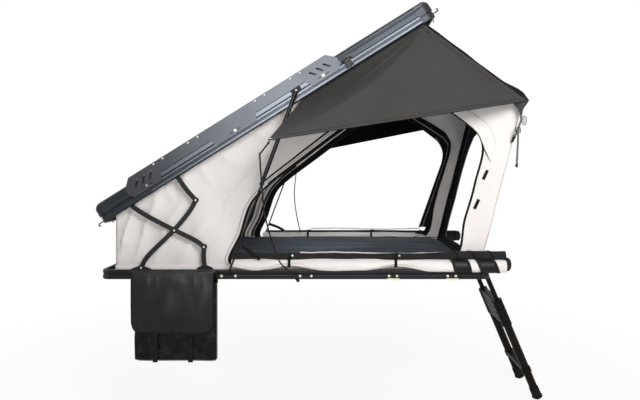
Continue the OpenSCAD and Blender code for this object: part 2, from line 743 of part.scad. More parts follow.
// Rack side plate: waisted strip with three lobes that bolt to the lid's groove
rack_end = rack_start + rack_l;
rack_top_n = lid_h + rack_above;
rack_waist_n = lid_h - rack_waist;
rack_lobe_n = lid_h - rack_lobe;
rack_mid = (rack_start + rack_end) / 2;
rack_bolt_n = rack_lobe_n + 19;
rack_lobes = [rack_start + rack_end_w / 2 + 6, rack_mid, rack_end - rack_end_w / 2 - 6];
rack_holes = [202, 260, 421, 482, 849, 910, 1074, 1135];

module rack_outline() {
    slope = 22;
    nose = 46;
    polygon([
        [rack_start + nose, rack_top_n], [rack_start, rack_top_n - 44], [rack_start, rack_waist_n - 12],
        [rack_start + slope, rack_lobe_n], [rack_start + rack_end_w - slope, rack_lobe_n],
        [rack_start + rack_end_w, rack_waist_n], [rack_mid - rack_mid_w / 2 - slope, rack_waist_n],
        [rack_mid - rack_mid_w / 2, rack_lobe_n], [rack_mid + rack_mid_w / 2, rack_lobe_n],
        [rack_mid + rack_mid_w / 2 + slope, rack_waist_n], [rack_end - rack_end_w, rack_waist_n],
        [rack_end - rack_end_w + slope, rack_lobe_n], [rack_end - slope, rack_lobe_n],
        [rack_end, rack_waist_n - 12], [rack_end, rack_top_n - 44], [rack_end - nose, rack_top_n]]);
}

module rack_plate(far) {
    color("#74777b") far_side(far) in_lid() upright(lid_face - rack_t, rack_t) difference() {
        rack_outline();
        for (end = [0, 2], k = [-1, 0, 1])
            translate([rack_lobes[end] + k * 44, lid_h - 26]) rotate(end == 0 ? 50 : 130) slot(52, rack_slot_w);
        for (lobe = rack_lobes, side = [-1, 1])
            translate([lobe + side * 24, rack_bolt_n]) slot(19, 6);
        for (u = rack_holes) translate([rack_start + u, rack_top_n - 9]) circle(5);
    }
}

module rack_bolts() {
    head_h = 4;
    color("#b5b7ba") in_lid() both_sides() for (lobe = rack_lobes)
        cross_pin([lobe, rack_bolt_n], lid_face - rack_t - head_h, head_h, 7);
}

// Lid brackets for the linkage: a thin plate on the rail's inner face, a spacer and a pin
module linkage_lid_brackets() {
    rail_y = lid_face + lid_t;
    low = lid_web_n - 4;
    spacer_l = slab(0) - plate_gap / 2 - rail_y;
    plate_l = 68;
    color("#2a2b2d") in_lid() both_sides() {
        for (at = [lid_a, lid_b])
            upright(rail_y, spacer_l) translate([at.x - plate_l / 2, low])
                rounded_square(plate_l, at.y + 18 - low, 8);
        cross_pin(lid_a, rail_y, slab(0) + plate_t + plate_gap / 2 - rail_y, pin_r);
        cross_pin(lid_b, rail_y, slab(2) - plate_gap / 2 - rail_y, eye_r - 3);
        cross_pin(lid_b, rail_y, slab(2) + plate_t + plate_gap / 2 - rail_y, pin_r);
    }
}

module strut_studs() {
    stud_l = lid_face - strut_y - strut_eye_t / 2 - soft_gap;
    plate_l = 60;
    color("#2a2b2d") in_lid() both_sides() {
        upright(lid_face - bracket_t, bracket_t) translate([strut_u - plate_l / 2, lid_web_n + 2])
            rounded_square(plate_l, strut_n - lid_web_n + 16, 4);
        cross_pin([strut_u, strut_n], lid_face - stud_l, stud_l, stud_r);
    }
}

// Side latch: back plate with two ears and a pin, and a lever with its wire bail
latch_pin_n = 54;
latch_u = rack_start + rack_l + latch_ahead;
latch_pin_y = lid_face - 9;
latch_pin_r = 3;

module latch_plates() {
    ear_t = 4;
    color("#8f9194") in_lid() both_sides() {
        upright(lid_face - 3, 3) translate([latch_u - latch_w / 2, lid_web_n + 1])
            rounded_square(latch_w, 24, 3);
        for (side = [-1, 1]) translate([latch_u + side * (latch_w / 2 - ear_t / 2) - ear_t / 2, 0, 0])
            translate([0, latch_pin_y - 5, latch_pin_n - 5]) cube([ear_t, lid_face - latch_pin_y + 3, 10]);
        translate([latch_u - latch_w / 2, latch_pin_y, latch_pin_n]) rotate([0, 90, 0])
            cylinder(h = latch_w, r = latch_pin_r);
    }
}

module latch_lever(far) {
    half = latch_w / 2 - 5;
    bail_low = 14;
    color("#c4c6c8") far_side(far) in_lid() translate([latch_u, latch_pin_y, latch_pin_n]) difference() {
        union() {
            translate([-half, 0, 0]) rotate([0, 90, 0]) cylinder(h = 2 * half, r = 5.5);
            translate([-half + 6, -5.5, -22]) cube([2 * half - 12, 3, 22]);
            for (side = [-1, 1]) translate([side * (half - 9), -4, bail_low - latch_pin_n])
                cylinder(h = latch_pin_n - bail_low - 4, r = 1.6);
            translate([-half, -4, bail_low - latch_pin_n]) rotate([0, 90, 0]) cylinder(h = 2 * half, r = 2.6);
        }
        translate([-half - 1, 0, 0]) rotate([0, 90, 0]) cylinder(h = 2 * half + 2, r = latch_pin_r + pin_play);
    }
}

// Wire hooks at the lid's two ends
module end_hooks() {
    bend = 8;
    reach = 26;
    hook_n = rib_n + rib_h / 2;
    color("#55585c") in_lid() both_sides() for (end = [0, 1])
        translate([end * lid_l, lid_w / 3, hook_n]) mirror([end, 0, 0])
            translate([lid_flange_step + rib_depth, 0, 0]) {
            rotate([0, -90, 0]) cylinder(h = reach, r = hook_r);
            translate([-reach, 0, -bend]) rotate([90, 0, 0]) rotate([0, 0, 90])
                rotate_extrude(angle = 200) translate([bend, 0]) circle(hook_r);
        }
}

// Front fly and the two arms that spread it
module spreader(far) {
    color("#202124") far_side(far) in_spread() translate([0, spread_y, 0]) {
        rotate([0, 90, 0]) cylinder(h = spread_l, r = spread_r);
        rotate([90, 0, 0]) cylinder(h = spread_y - lid_face - lid_t - soft_gap, r = spread_r);
    }
}

module front_fly() {
    half = -spread_y + 6;
    start = spread_n + 24;
    function fly_row(t) = [for (i = [0 : 16]) let (y = mix(-half, half, i / 16))
        [mix(start, spread_l + fly_over + 4, t), y, spread_r + soft_gap + 9 * sin(180 * t) * pow(cos(90 * y / half), 2)]];
    color("#4c4e51") in_spread() sheet([for (j = [0 : 8]) fly_row(j / 8)], [0, 0, cloth_t]);
}

// Side awning: one slack sheet from the lid's edge to the free corner and the front spreader
awning_rear_seam = lid_open_at([awning_seam_u, -cloth_t - soft_gap]);
awning_front_seam = lid_open_at([spread_u - 45, -cloth_t - soft_gap]);
function awning_point(s, t) =
    let (seam = mix(awning_rear_seam, awning_front_seam, s), top = [seam.x, awning_y, seam.y],
        low = mix(awning_corner, awning_front, s), p = mix(top, low, t))
    p - [0, 0, 26 * sin(180 * s) * sin(180 * t) + 5 * sin(720 * s) * sin(180 * t)];

module awning(far) {
    color("#4c4e51") far_side(far)
        sheet([for (j = [0 : 9]) [for (i = [0 : 16]) awning_point(i / 16, j / 9)]], [0, 0, cloth_t]);
}

module pole(far) {
    color("#2b2622") far_side(far) loft(rope(soften(soften(pole_route)), pole_r, 8));
}

// Linkage arms: ribbons with a true pivot eye at each joint
module arm(y, path, holes, heads) {
    difference() {
        union() {
            upright(y, plate_t) polygon(ribbon(soften(soften(path)), arm_w));
            for (at = concat(holes, heads)) cross_pin(at, y, plate_t, eye_r);
        }
        for (at = holes) cross_pin(at, y - 1, plate_t + 2, pin_r + pin_play);
    }
}

function bowed(a, b, t, out) = mix(a, b, t) + turn(unit(b - a), 90) * out;

module arm_a(far) {
    color("#2a2b2d") far_side(far) arm(slab(1),
        [foot_a, bowed(foot_a, cross_open, 0.22, knee), cross_open, bowed(cross_open, top_a_open, 0.7, -knee / 2),
            top_a_open], [foot_a], [cross_open, top_a_open]);
}

module arm_b(far) {
    at_lid = lid_open_at(lid_b);
    color("#2a2b2d") far_side(far) arm(slab(2),
        [at_lid, bowed(at_lid, cross_open, 0.3, -knee), cross_open, bowed(cross_open, end_b_open, 0.7, knee / 2),
            end_b_open], [at_lid], [cross_open, end_b_open]);
}

module link_a(far) {
    at_lid = lid_open_at(lid_a);
    color("#2a2b2d") far_side(far) arm(slab(0),
        [at_lid, bowed(at_lid, top_a_open, 0.6, -knee / 3), top_a_open], [at_lid], [top_a_open]);
}

module link_b(far) {
    color("#2a2b2d") far_side(far) arm(slab(3),
        [foot_b, bowed(foot_b, end_b_open, 0.5, knee / 4), end_b_open], [foot_b], [end_b_open]);
}

// Gas struts
module in_strut() {
    translate([strut_foot.x, strut_y, strut_foot.y]) rotate([0, -strut_open_a, 0]) children();
}

module strut_eye(bore) {
    difference() {
        translate([0, -strut_eye_t / 2, 0]) rotate([-90, 0, 0]) cylinder(h = strut_eye_t, r = strut_eye_r);
        if (bore > 0) translate([0, -strut_eye_t, 0]) rotate([-90, 0, 0]) cylinder(h = 2 * strut_eye_t, r = bore);
    }
}

module strut_rod(far) {
    color("#9a9c9f") far_side(far) in_strut() {
        translate([strut_eye_r - 2, 0, 0]) rotate([0, 90, 0]) cylinder(h = strut_rod_l - strut_eye_r + 2, r = rod_r);
        strut_eye(stud_r + pin_play);
    }
}

module strut_tube(far) {
    color("#1d1e20") far_side(far) in_strut() {
        translate([strut_open_l - strut_tube_l, 0, 0]) rotate([0, 90, 0]) difference() {
            cylinder(h = strut_tube_l - strut_eye_r + 3, r = strut_r);
            translate([0, 0, -1]) cylinder(h = strut_tube_l - strut_eye_r - 8, r = rod_r + 2 * pin_play);
        }
        translate([strut_open_l, 0, 0]) strut_eye(0);
    }
}

// Shoe bag, hung from the rail's groove
bag_x = base_rear + bag_ahead;
bag_top = base_h - 3;
bag_y = base_face - soft_gap;
bag_wall = 3;
bag_round = 28;
bag_mouth = -12;
bag_front = bag_y - bag_wall - bag_t;

module bag_panel(x0, low, w, h, r, y, t) {
    translate([x0, y, low]) rotate([90, 0, 0]) linear_extrude(t) rounded_square(w, h, r);
}

module bag_body() {
    pouch_y = bag_y - bag_wall;
    color("#1b1c1e") {
        translate([bag_x, pouch_y, bag_mouth - 2]) cube([bag_w, bag_wall, bag_top - bag_mouth + 2]);
        translate([bag_x, pouch_y - bag_t, bag_top - bag_wall]) cube([bag_w, bag_t + bag_wall, bag_wall]);
        difference() {
            bag_panel(bag_x, -bag_drop, bag_w, bag_drop + bag_mouth, bag_round, bag_y, bag_t + bag_wall);
            bag_panel(bag_x + bag_wall, bag_wall - bag_drop, bag_w - 2 * bag_wall, bag_drop + 2 * bag_round,
                bag_round - bag_wall, bag_y - bag_wall, bag_t - bag_wall);
        }
    }
}

module bag_flap() {
    color("#34363a") translate([bag_x, bag_front - soft_gap, -flap_drop]) rotate([90, 0, 0])
        linear_extrude(flap_t) {
            translate([0, flap_r]) square([bag_w, bag_top + flap_drop - flap_r]);
            translate([flap_r, 0]) square([bag_w - 2 * flap_r, flap_r]);
            for (x = [flap_r, bag_w - flap_r]) translate([x, flap_r]) circle(flap_r);
        }
}

// Telescopic ladder
module rail_pair() {
    for (rail = [-1, 1]) translate([0, rail * ladder_y, 0]) children();
}

module tread(x, h) {
    translate([x, ladder_y, -tread_d / 2]) rotate([90, 0, 0]) linear_extrude(2 * ladder_y)
        rounded_square(h, tread_d, 8);
}

module collar(x, h) {
    rib_h = h / 7;
    translate([x, 0, 0]) rotate([0, 90, 0]) {
        cylinder(h = h, r = collar_r);
        for (k = [1, 3, 5]) translate([0, 0, k * rib_h]) cylinder(h = rib_h, r = collar_r + 1.5);
    }
}

module ladder_section(k) {
    top = section_top(k);
    r = section_r(k);
    last = k == section_count;
    tube_end = k == 1 ? ladder_top_l + 62 : last ? ladder_end : top + tube_l;
    h = collar_h - collar_gap;
    low = ladder_end - ladder_low_tread;
    color(k == 1 ? "#2b2c2f" : "#1f2022") in_ladder() difference() {
        union() {
            rail_pair() translate([k == 1 ? -section_r(1) : top, 0, 0]) rotate([0, 90, 0])
                cylinder(h = tube_end - (k == 1 ? -section_r(1) : top), r = r);
            if (k > 1) {
                rail_pair() collar(top, h);
                tread(top + 2, h - 4);
            }
            if (last) {
                rail_pair() collar(low, h);
                tread(low + 2, h - 4);
            }
        }
        rail_pair() translate([k == 1 ? 2 * section_r(1) : top - 1, 0, 0]) rotate([0, 90, 0])
            cylinder(h = last ? tube_end - top - 8 : tube_end - top + 2, r = r - tube_wall);
        if (k == 1) rail_pair() translate([0, -2 * r, 0]) rotate([-90, 0, 0]) cylinder(h = 4 * r, r = pin_r + pin_play);
    }
}

module ladder_feet() {
    r = section_r(section_count);
    socket = 12;
    color("#151515") in_ladder() rail_pair() translate([ladder_end - socket, 0, 0]) rotate([0, 90, 0]) difference() {
        union() {
            cylinder(h = rubber_l, r = r + 4);
            translate([0, 0, rubber_l - 14]) cylinder(h = 14, r = r + 7);
        }
        translate([0, 0, -1]) cylinder(h = socket + 1, r = r + pin_play);
    }
}

base_rail(false);  // base_rail_near
base_rail(true);  // base_rail_far
base_end_rails();
base_corners();
floor_panel();
mounting_channels();
mattress();
linkage_feet();
strut_feet();
pole_sockets();
side_brackets();
side_wall(false);  // wall_near
side_wall(true);  // wall_far
wall_rear();
wall_front();
door_roll(false);  // door_roll_near
door_roll(true);  // door_roll_far
ladder_hinge();
lid_rail(false);  // lid_rail_near
lid_rail(true);  // lid_rail_far
lid_end_rails();
lid_corners();
roof_panel();
rack_plate(false);  // rack_plate_near
rack_plate(true);  // rack_plate_far
linkage_lid_brackets();
strut_studs();
latch_plates();
rack_bolts();
end_hooks();
spreader(false);  // spreader_near
spreader(true);  // spreader_far
front_fly();
awning(false);  // awning_near
awning(true);  // awning_far
pole(false);  // pole_near
pole(true);  // pole_far
arm_a(false);  // arm_a_near
arm_a(true);  // arm_a_far
arm_b(false);  // arm_b_near
arm_b(true);  // arm_b_far
link_a(false);  // link_a_near
link_a(true);  // link_a_far
link_b(false);  // link_b_near
link_b(true);  // link_b_far
strut_rod(false);  // strut_rod_near
strut_rod(true);  // strut_rod_far
strut_tube(false);  // strut_tube_near
strut_tube(true);  // strut_tube_far
latch_lever(false);  // latch_lever_near
latch_lever(true);  // latch_lever_far
bag_body();
bag_flap();
ladder_section(1);  // ladder_section_1
ladder_section(2);  // ladder_section_2
ladder_section(3);  // ladder_section_3
ladder_section(4);  // ladder_section_4
ladder_section(5);  // ladder_section_5
ladder_section(6);  // ladder_section_6
ladder_feet();
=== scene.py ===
"""Looks of a wedge-opening roof top tent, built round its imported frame.

Lengths in the classes are millimetres in the part's own frame: X runs to the
front, Y to the far side and Z up. Shape turns them into metres.
"""

import json
import logging
import math
from dataclasses import dataclass, field
from enum import Enum
from typing import Callable, Sequence

import bmesh
import bpy
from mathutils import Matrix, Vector, noise

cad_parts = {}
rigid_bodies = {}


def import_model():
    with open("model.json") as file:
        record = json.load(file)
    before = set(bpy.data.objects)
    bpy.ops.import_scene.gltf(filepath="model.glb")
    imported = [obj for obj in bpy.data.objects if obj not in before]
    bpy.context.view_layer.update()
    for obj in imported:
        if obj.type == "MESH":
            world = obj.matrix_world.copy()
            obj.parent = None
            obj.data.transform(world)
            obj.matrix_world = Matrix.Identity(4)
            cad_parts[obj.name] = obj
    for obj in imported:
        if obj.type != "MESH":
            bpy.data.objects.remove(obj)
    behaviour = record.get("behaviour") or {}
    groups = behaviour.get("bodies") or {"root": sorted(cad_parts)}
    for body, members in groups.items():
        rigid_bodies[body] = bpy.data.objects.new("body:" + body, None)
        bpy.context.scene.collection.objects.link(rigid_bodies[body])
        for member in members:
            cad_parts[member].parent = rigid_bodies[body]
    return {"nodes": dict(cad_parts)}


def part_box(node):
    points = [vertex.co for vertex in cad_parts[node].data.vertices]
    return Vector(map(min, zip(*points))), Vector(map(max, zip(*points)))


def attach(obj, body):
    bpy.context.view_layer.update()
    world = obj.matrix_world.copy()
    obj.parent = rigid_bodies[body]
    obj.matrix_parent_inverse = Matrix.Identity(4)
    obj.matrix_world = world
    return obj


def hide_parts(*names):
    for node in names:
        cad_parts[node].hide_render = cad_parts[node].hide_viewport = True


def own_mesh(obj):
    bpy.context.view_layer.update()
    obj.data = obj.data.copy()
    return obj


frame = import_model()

LOG = logging.getLogger("tent")
# Metres in a millimetre
MM = 0.001
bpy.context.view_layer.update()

# Strength of every finish's bump
BUMP = 0.8
# Metres that one band of a wave texture takes at a scale of 1
WAVE_BAND = 0.314
# Thickness of wall canvas, awning cloth and bound tape in millimetres
WALL_CLOTH, FLY_CLOTH, BOUND_TAPE = 1.4, 1.2, 2.0
# Ways to the front and out of the near side
AHEAD, OUTWARD = Vector((1, 0, 0)), Vector((0, -1, 0))

# Points of a line, in order
Route = list[Vector]
# Given places: pairs of a side view, an outline or a profile, and points of the near side
Outline = tuple[tuple[float, float], ...]
Points = tuple[tuple[float, float, float], ...]


class Side(Enum):
    """Long side of the tent that a piece is on; the value turns near y into its own."""

    NEAR = 1.0
    FAR = -1.0

    @property
    def tag(self) -> str:
        """Ending of the side's piece names."""
        return self.name.lower()


@dataclass(frozen=True)
class Tilted:
    """Frame turned about the Y axis.

    Args:
        x: Place of its origin along X.
        z: Place of its origin along Z.
        angle: Climb of its along direction in degrees.
    """

    x: float
    z: float
    angle: float

    def way(self, along: float, out: float) -> Vector:
        """Direction with these shares along and out."""
        c, s = math.cos(math.radians(self.angle)), math.sin(math.radians(self.angle))
        return Vector((along * c - out * s, 0.0, along * s + out * c))

    def at(self, along: float, across: float = 0.0, out: float = 0.0) -> Vector:
        """Point this far along, across and out."""
        return Vector((self.x, across, self.z)) + self.way(along, out)


# Frames of the lid's lower edge, the front fly, the ladder and the struts
LID = Tilted(-1054.0, 298.0, 32.0)
FLY = Tilted(679.41, 1400.02, -36.0)
LADDER = Tilted(1122.0, 30.0, -67.2)
STRUT = Tilted(-365.0, 22.0, 69.69)


def mix(a: Vector, b: Vector, share: float) -> Vector:
    """Point between a and b."""
    return a + (b - a) * share


def smooth(value: float, low: float, high: float) -> float:
    """Soft rise from 0 at low to 1 at high."""
    t = min(1.0, max(0.0, (value - low) / (high - low)))
    return t * t * (3 - 2 * t)


def xz(x: float, z: float, y: float = 0.0) -> Vector:
    """Point from its place in the side view."""
    return Vector((x, y, z))


def turns(count: int, closed: bool = False) -> list[float]:
    """Even angles round a full turn, with the first one again at the end if closed."""
    return [math.tau * k / count for k in range(count + closed)]


def spoke(angle: float) -> Vector:
    """Unit way at an angle in the view from the front."""
    return Vector((0.0, math.cos(angle), math.sin(angle)))


def curve(points: Sequence[Vector], steps: int, closed: bool = False) -> Route:
    """Smooth line through points.

    Args:
        points: Points that the line passes.
        steps: Pieces between two points.
        closed: Join the last point to the first.

    Returns:
        The points of the line.
    """
    count = len(points)
    spans = count if closed else count - 1
    pick = (lambda i: points[i % count]) if closed else (lambda i: points[min(max(i, 0), count - 1)])
    line: Route = []
    for i in range(spans):
        a, b, c, d = (pick(i + k) for k in (-1, 0, 1, 2))
        for k in range(steps):
            t = k / steps
            line.append(0.5 * (2 * b + (c - a) * t + (2 * a - 5 * b + 4 * c - d) * t * t
                               + (3 * b - a - 3 * c + d) * t ** 3))
    if not closed:
        line.append(points[-1].copy())
    return line


def through(points: Points, steps: int) -> Route:
    """Smooth line through given points."""
    return curve([Vector(p) for p in points], steps)


def crumple(p: Vector, pitch: float, height: float, seed: float = 0.0) -> float:
    """Smooth random height at a point, for creased cloth."""
    return height * noise.noise(p / pitch + Vector((seed, seed * 1.7, -seed)))


def ridge(turn: float) -> float:
    """1 along narrow ridges half a turn apart and 0 between them, with rounded crests."""
    return max(0.0, 1.1 - math.sqrt(math.sin(turn) ** 2 + 0.03))


def linear(colour: str) -> tuple[float, float, float, float]:
    """Turn an sRGB hex colour to linear.

    Args:
        colour: Colour as it is written in a finish.

    Returns:
        Red, green, blue and a full alpha.
    """
    parts = [int(colour[i:i + 2], 16) / 255 for i in (1, 3, 5)]
    r, g, b = (p / 12.92 if p <= 0.04045 else ((p + 0.055) / 1.055) ** 2.4 for p in parts)
    return r, g, b, 1.0


def add(tree: bpy.types.NodeTree, kind: str, inputs: dict | None = None,
        **settings: object) -> bpy.types.Node:
    """Add a node, set it and fill or link its inputs.

    Args:
        tree: Tree that gets the node.
        kind: Node type.
        inputs: Value or source socket of each input.
        settings: Node properties.

    Returns:
        The node.
    """
    node = tree.nodes.new(kind)
    for name, value in settings.items():
        setattr(node, name, value)
    for key, value in (inputs or {}).items():
        if isinstance(value, bpy.types.NodeSocket):
            tree.links.new(value, node.inputs[key])
        else:
            node.inputs[key].default_value = value
    return node


@dataclass(frozen=True)
class Finish:
    """Surface of a real material.

    Args:
        name: Name of the material.
        colour: Main colour.
        shade: Colour of its darker places.
        roughness: Roughness of the surface.
        metallic: 1 for bare metal.
        specular: Strength of its clear reflection.
        pitch: Size of its pattern in millimetres.
        patch: Size of its light and dark patches in millimetres.
        depth: Height of its pattern in millimetres.
    """

    name: str
    colour: str
    shade: str
    roughness: float = 0.6
    metallic: float = 0.0
    specular: float = 0.4
    pitch: float = 3.0
    patch: float = 160.0
    depth: float = 0.2

    def material(self) -> bpy.types.Material:
        """Make the finish's material at its first use.

        Returns:
            The material.
        """
        made = bpy.data.materials.get(self.name)
        if made:
            return made
        made = bpy.data.materials.new(self.name)
        made.use_nodes = True
        tree = made.node_tree
        shader = tree.nodes["Principled BSDF"]
        shader.inputs["Roughness"].default_value = self.roughness
        shader.inputs["Metallic"].default_value = self.metallic
        shader.inputs["Specular IOR Level"].default_value = self.specular
        where = add(tree, "ShaderNodeTexCoord").outputs["Object"]
        tree.links.new(self.tone(tree, where), shader.inputs["Base Color"])
        bump = add(tree, "ShaderNodeBump", {"Height": self.relief(tree, where), "Distance": self.depth * MM,
                                            "Strength": BUMP})
        tree.links.new(bump.outputs["Normal"], shader.inputs["Normal"])
        self.extra(tree, shader)
        return made

    def noise(self, tree: bpy.types.NodeTree, where: bpy.types.NodeSocket, size: float,
              stretch: tuple[float, float, float] = (1.0, 1.0, 1.0), detail: float = 2.0) -> bpy.types.NodeSocket:
        """Add noise with grains of a real size.

        Args:
            tree: Tree that gets the nodes.
            where: Coordinates.
            size: Size of the grains in millimetres.
            stretch: Times that they are longer along each axis.
            detail: Finer layers of the noise.

        Returns:
            The noise's value.
        """
        scale = tuple(1.0 / (size * MM * s) for s in stretch)
        mapped = add(tree, "ShaderNodeMapping", {"Vector": where, "Scale": scale})
        return add(tree, "ShaderNodeTexNoise", {"Vector": mapped.outputs["Vector"], "Scale": 1.0,
                                                "Detail": detail}).outputs["Fac"]

    def ramp(self, tree: bpy.types.NodeTree, value: bpy.types.NodeSocket, low: float, high: float,
             dark: str, light: str) -> bpy.types.NodeSocket:
        """Add a run of colours over a value.

        Args:
            tree: Tree that gets the node.
            value: Value that picks the colour.
            low: Value of the dark colour.
            high: Value of the light colour.
            dark: Dark colour.
            light: Light colour.

        Returns:
            The colour.
        """
        node = add(tree, "ShaderNodeValToRGB", {"Fac": value})
        ends = node.color_ramp.elements
        ends[0].position, ends[0].color = low, linear(dark)
        ends[1].position, ends[1].color = high, linear(light)
        return node.outputs["Color"]

    def tone(self, tree: bpy.types.NodeTree, where: bpy.types.NodeSocket) -> bpy.types.NodeSocket:
        """Colour socket: soft patches between shade and colour."""
        return self.ramp(tree, self.noise(tree, where, self.patch), 0.3, 0.62, self.shade, self.colour)

    def relief(self, tree: bpy.types.NodeTree, where: bpy.types.NodeSocket) -> bpy.types.NodeSocket:
        """Height socket: fine even grain."""
        return self.noise(tree, where, self.pitch)

    def extra(self, tree: bpy.types.NodeTree, shader: bpy.types.Node) -> None:
        """Set what only this kind of finish has."""


@dataclass(frozen=True)
class Woven(Finish):
    """Woven cloth: crossed threads in all three directions, so every wall shows two of them.

    Args:
        sheen: Strength of the soft light on loose fibres.
        fuzz: Roughness of that light.
    """

    sheen: float = 0.15
    fuzz: float = 0.6

    def relief(self, tree: bpy.types.NodeTree, where: bpy.types.NodeSocket) -> bpy.types.NodeSocket:
        """Add crossed threads.

        Args:
            tree: Tree that gets the nodes.
            where: Coordinates.

        Returns:
            The height.
        """
        total = None
        for way in "XYZ":
            wave = add(tree, "ShaderNodeTexWave", {"Vector": where, "Scale": WAVE_BAND / (self.pitch * MM),
                                                   "Distortion": 0.6}, bands_direction=way)
            parts = {0: wave.outputs["Fac"], 1: total if total else 0.0}
            total = add(tree, "ShaderNodeMath", parts, operation="ADD").outputs["Value"]
        return total

    def extra(self, tree: bpy.types.NodeTree, shader: bpy.types.Node) -> None:
        """Set the soft edge light of loose fibres."""
        shader.inputs["Sheen Weight"].default_value = self.sheen
        shader.inputs["Sheen Roughness"].default_value = self.fuzz


@dataclass(frozen=True)
class Streaked(Finish):
    """Cover with lengthwise streaks, as a heathered knit has."""

    def tone(self, tree: bpy.types.NodeTree, where: bpy.types.NodeSocket) -> bpy.types.NodeSocket:
        """Colour socket: fine streaks along X."""
        return self.ramp(tree, self.noise(tree, where, self.pitch, (60.0, 1.0, 1.0), 4.0), 0.36, 0.64,
                         self.shade, self.colour)


@dataclass(frozen=True)
class Creased(Finish):
    """Thin coated sheet whose folds catch the light."""

    def relief(self, tree: bpy.types.NodeTree, where: bpy.types.NodeSocket) -> bpy.types.NodeSocket:
        """Height socket: soft creases."""
        return self.noise(tree, where, self.pitch, (1.0, 1.0, 1.6), 3.0)


@dataclass(frozen=True)
class Camouflage(Finish):
    """Printed cloth with blots of four tones.

    Args:
        tones: Colours of the blots.
        steps: Noise value at which each colour begins.
    """

    tones: tuple[str, ...] = ("#040404", "#0d0c0d", "#1d1c1d", "#080808")
    steps: tuple[float, ...] = (0.0, 0.44, 0.54, 0.63)

    def tone(self, tree: bpy.types.NodeTree, where: bpy.types.NodeSocket) -> bpy.types.NodeSocket:
        """Add hard-edged blots.

        Args:
            tree: Tree that gets the nodes.
            where: Coordinates.

        Returns:
            The colour.
        """
        node = add(tree, "ShaderNodeValToRGB", {"Fac": self.noise(tree, where, self.patch, detail=3.0)})
        node.color_ramp.interpolation = "CONSTANT"
        ends = node.color_ramp.elements
        for place, tone in zip(self.steps, self.tones):
            end = ends[0] if place == 0.0 else ends.new(place)
            end.color = linear(tone)
        ends.remove(ends[-1])
        return node.outputs["Color"]


@dataclass(frozen=True)
class Clear(Finish):
    """Clear plastic.

    Args:
        opacity: Share of light that it stops.
    """

    opacity: float = 0.35

    def extra(self, tree: bpy.types.NodeTree, shader: bpy.types.Node) -> None:
        """Let light through."""
        shader.inputs["Alpha"].default_value = self.opacity


# Grain of coats, mouldings and metals is 0.2 to 0.5 mm; it is drawn 1 to 2 mm coarse so that it shows

# Lid rails, satin powder coat on aluminium: blue-black, brightening where it mirrors a light
LID_COAT = Finish("satin_coated_aluminium", "#2b2e33", "#272a2f", 0.38, metallic=0.8, specular=0.3, pitch=1.6,
                  patch=260, depth=0.0)
# Lid corners, moulded ABS: a shade darker and duller than the rails
CORNER_PLASTIC = Finish("moulded_abs_charcoal", "#1b1c1f", "#151619", 0.5, specular=0.25, pitch=1.4, patch=120,
                        depth=0.06)
# Base extrusion, black anodised aluminium: a satin line of light along its edges
BASE_COAT = Finish("anodised_aluminium_black", "#17171a", "#121214", 0.4, metallic=0.5, specular=0.25, pitch=1.5,
                   patch=300, depth=0.04)
# Arms, brackets and feet, powder-coated steel: matt black with hardly a reflection
BLACK_STEEL = Finish("powder_coated_steel_black", "#28282a", "#212123", 0.55, specular=0.1, pitch=1.4, patch=140,
                     depth=0.06)
# Ladder tubes, black anodised aluminium: slightly warm, with a soft line of light
LADDER_TUBE = Finish("anodised_aluminium_warm_black", "#15110c", "#0f0c08", 0.46, metallic=0.15, specular=0.1,
                     pitch=1.4, patch=180, depth=0.04)
# Lock sliders of the ladder, glass-filled nylon: matt, with a fine moulded grain
LADDER_PLASTIC = Finish("glass_filled_nylon_black", "#171718", "#101011", 0.6, specular=0.2, pitch=1.2, patch=90,
                        depth=0.08)
# Rack side plates, satin powder coat on aluminium: grey, brightening towards the light
RACK_COAT = Finish("satin_coated_aluminium_grey", "#3b3d41", "#35373b", 0.38, metallic=0.8, specular=0.3, pitch=1.6,
                   patch=220, depth=0.0)
# Raised ribs of the lid's rails: the same coat made lighter, a painted highlight
RIB_PAINTED_HIGHLIGHT = Finish("satin_coated_aluminium_rubbed", "#4b4e54", "#45484e", 0.36, metallic=0.8, specular=0.3, pitch=1.6,
                  patch=220, depth=0.0)
# Bolts and eyelets, zinc-plated steel: bright with a slight cloud
ZINC = Finish("zinc_plated_steel", "#8e9092", "#787a7c", 0.3, metallic=1.0, pitch=1.0, patch=24, depth=0.03)
# Bolt caps and bracket tabs, moulded acetal: faintly warm ivory
IVORY = Finish("moulded_acetal_ivory", "#ece3cf", "#d9cfba", 0.4, specular=0.3, pitch=1.0, patch=24, depth=0.03)
# Wire of the latch bails, bronzed steel: brown and dull beside the zinc
ROD_STEEL = Finish("bronzed_steel", "#4a453c", "#3b372f", 0.35, metallic=1.0, pitch=1.0, patch=60, depth=0.02)
# Strut rods and spring rods, nitrided steel: brown-black with a hard gloss
NITRIDED = Finish("nitrided_steel_dark", "#241c14", "#1a130d", 0.34, specular=0.1, pitch=1.0, patch=60, depth=0.02)
# Strut tubes, stove enamel on steel: black with a clear narrow reflection
STRUT_COAT = Finish("stove_enamel_black", "#131315", "#0e0e10", 0.28, specular=0.14, pitch=2.0, patch=200, depth=0.03)
# End hooks, passivated steel wire: dark with a dull metal light
DARK_WIRE = Finish("passivated_steel_dark", "#26272a", "#1c1d1f", 0.36, metallic=0.6, specular=0.3, pitch=1.0, patch=30,
                   depth=0.04)
# Under-floor sheet and channels, mill-finish aluminium: pale, with a broad soft shine
MILL_ALUMINIUM = Finish("mill_aluminium", "#b4b6b8", "#9a9c9f", 0.4, metallic=0.9, pitch=2.0, patch=180, depth=0.03)
# Walls, polycotton canvas: pale and matt; its 0.6 mm threads are drawn 2 mm coarse so that they show
CANVAS = Woven("polycotton_canvas_pale", "#efeae7", "#e7e1de", 0.85, specular=0.1, pitch=2.0, patch=320, depth=0.12)
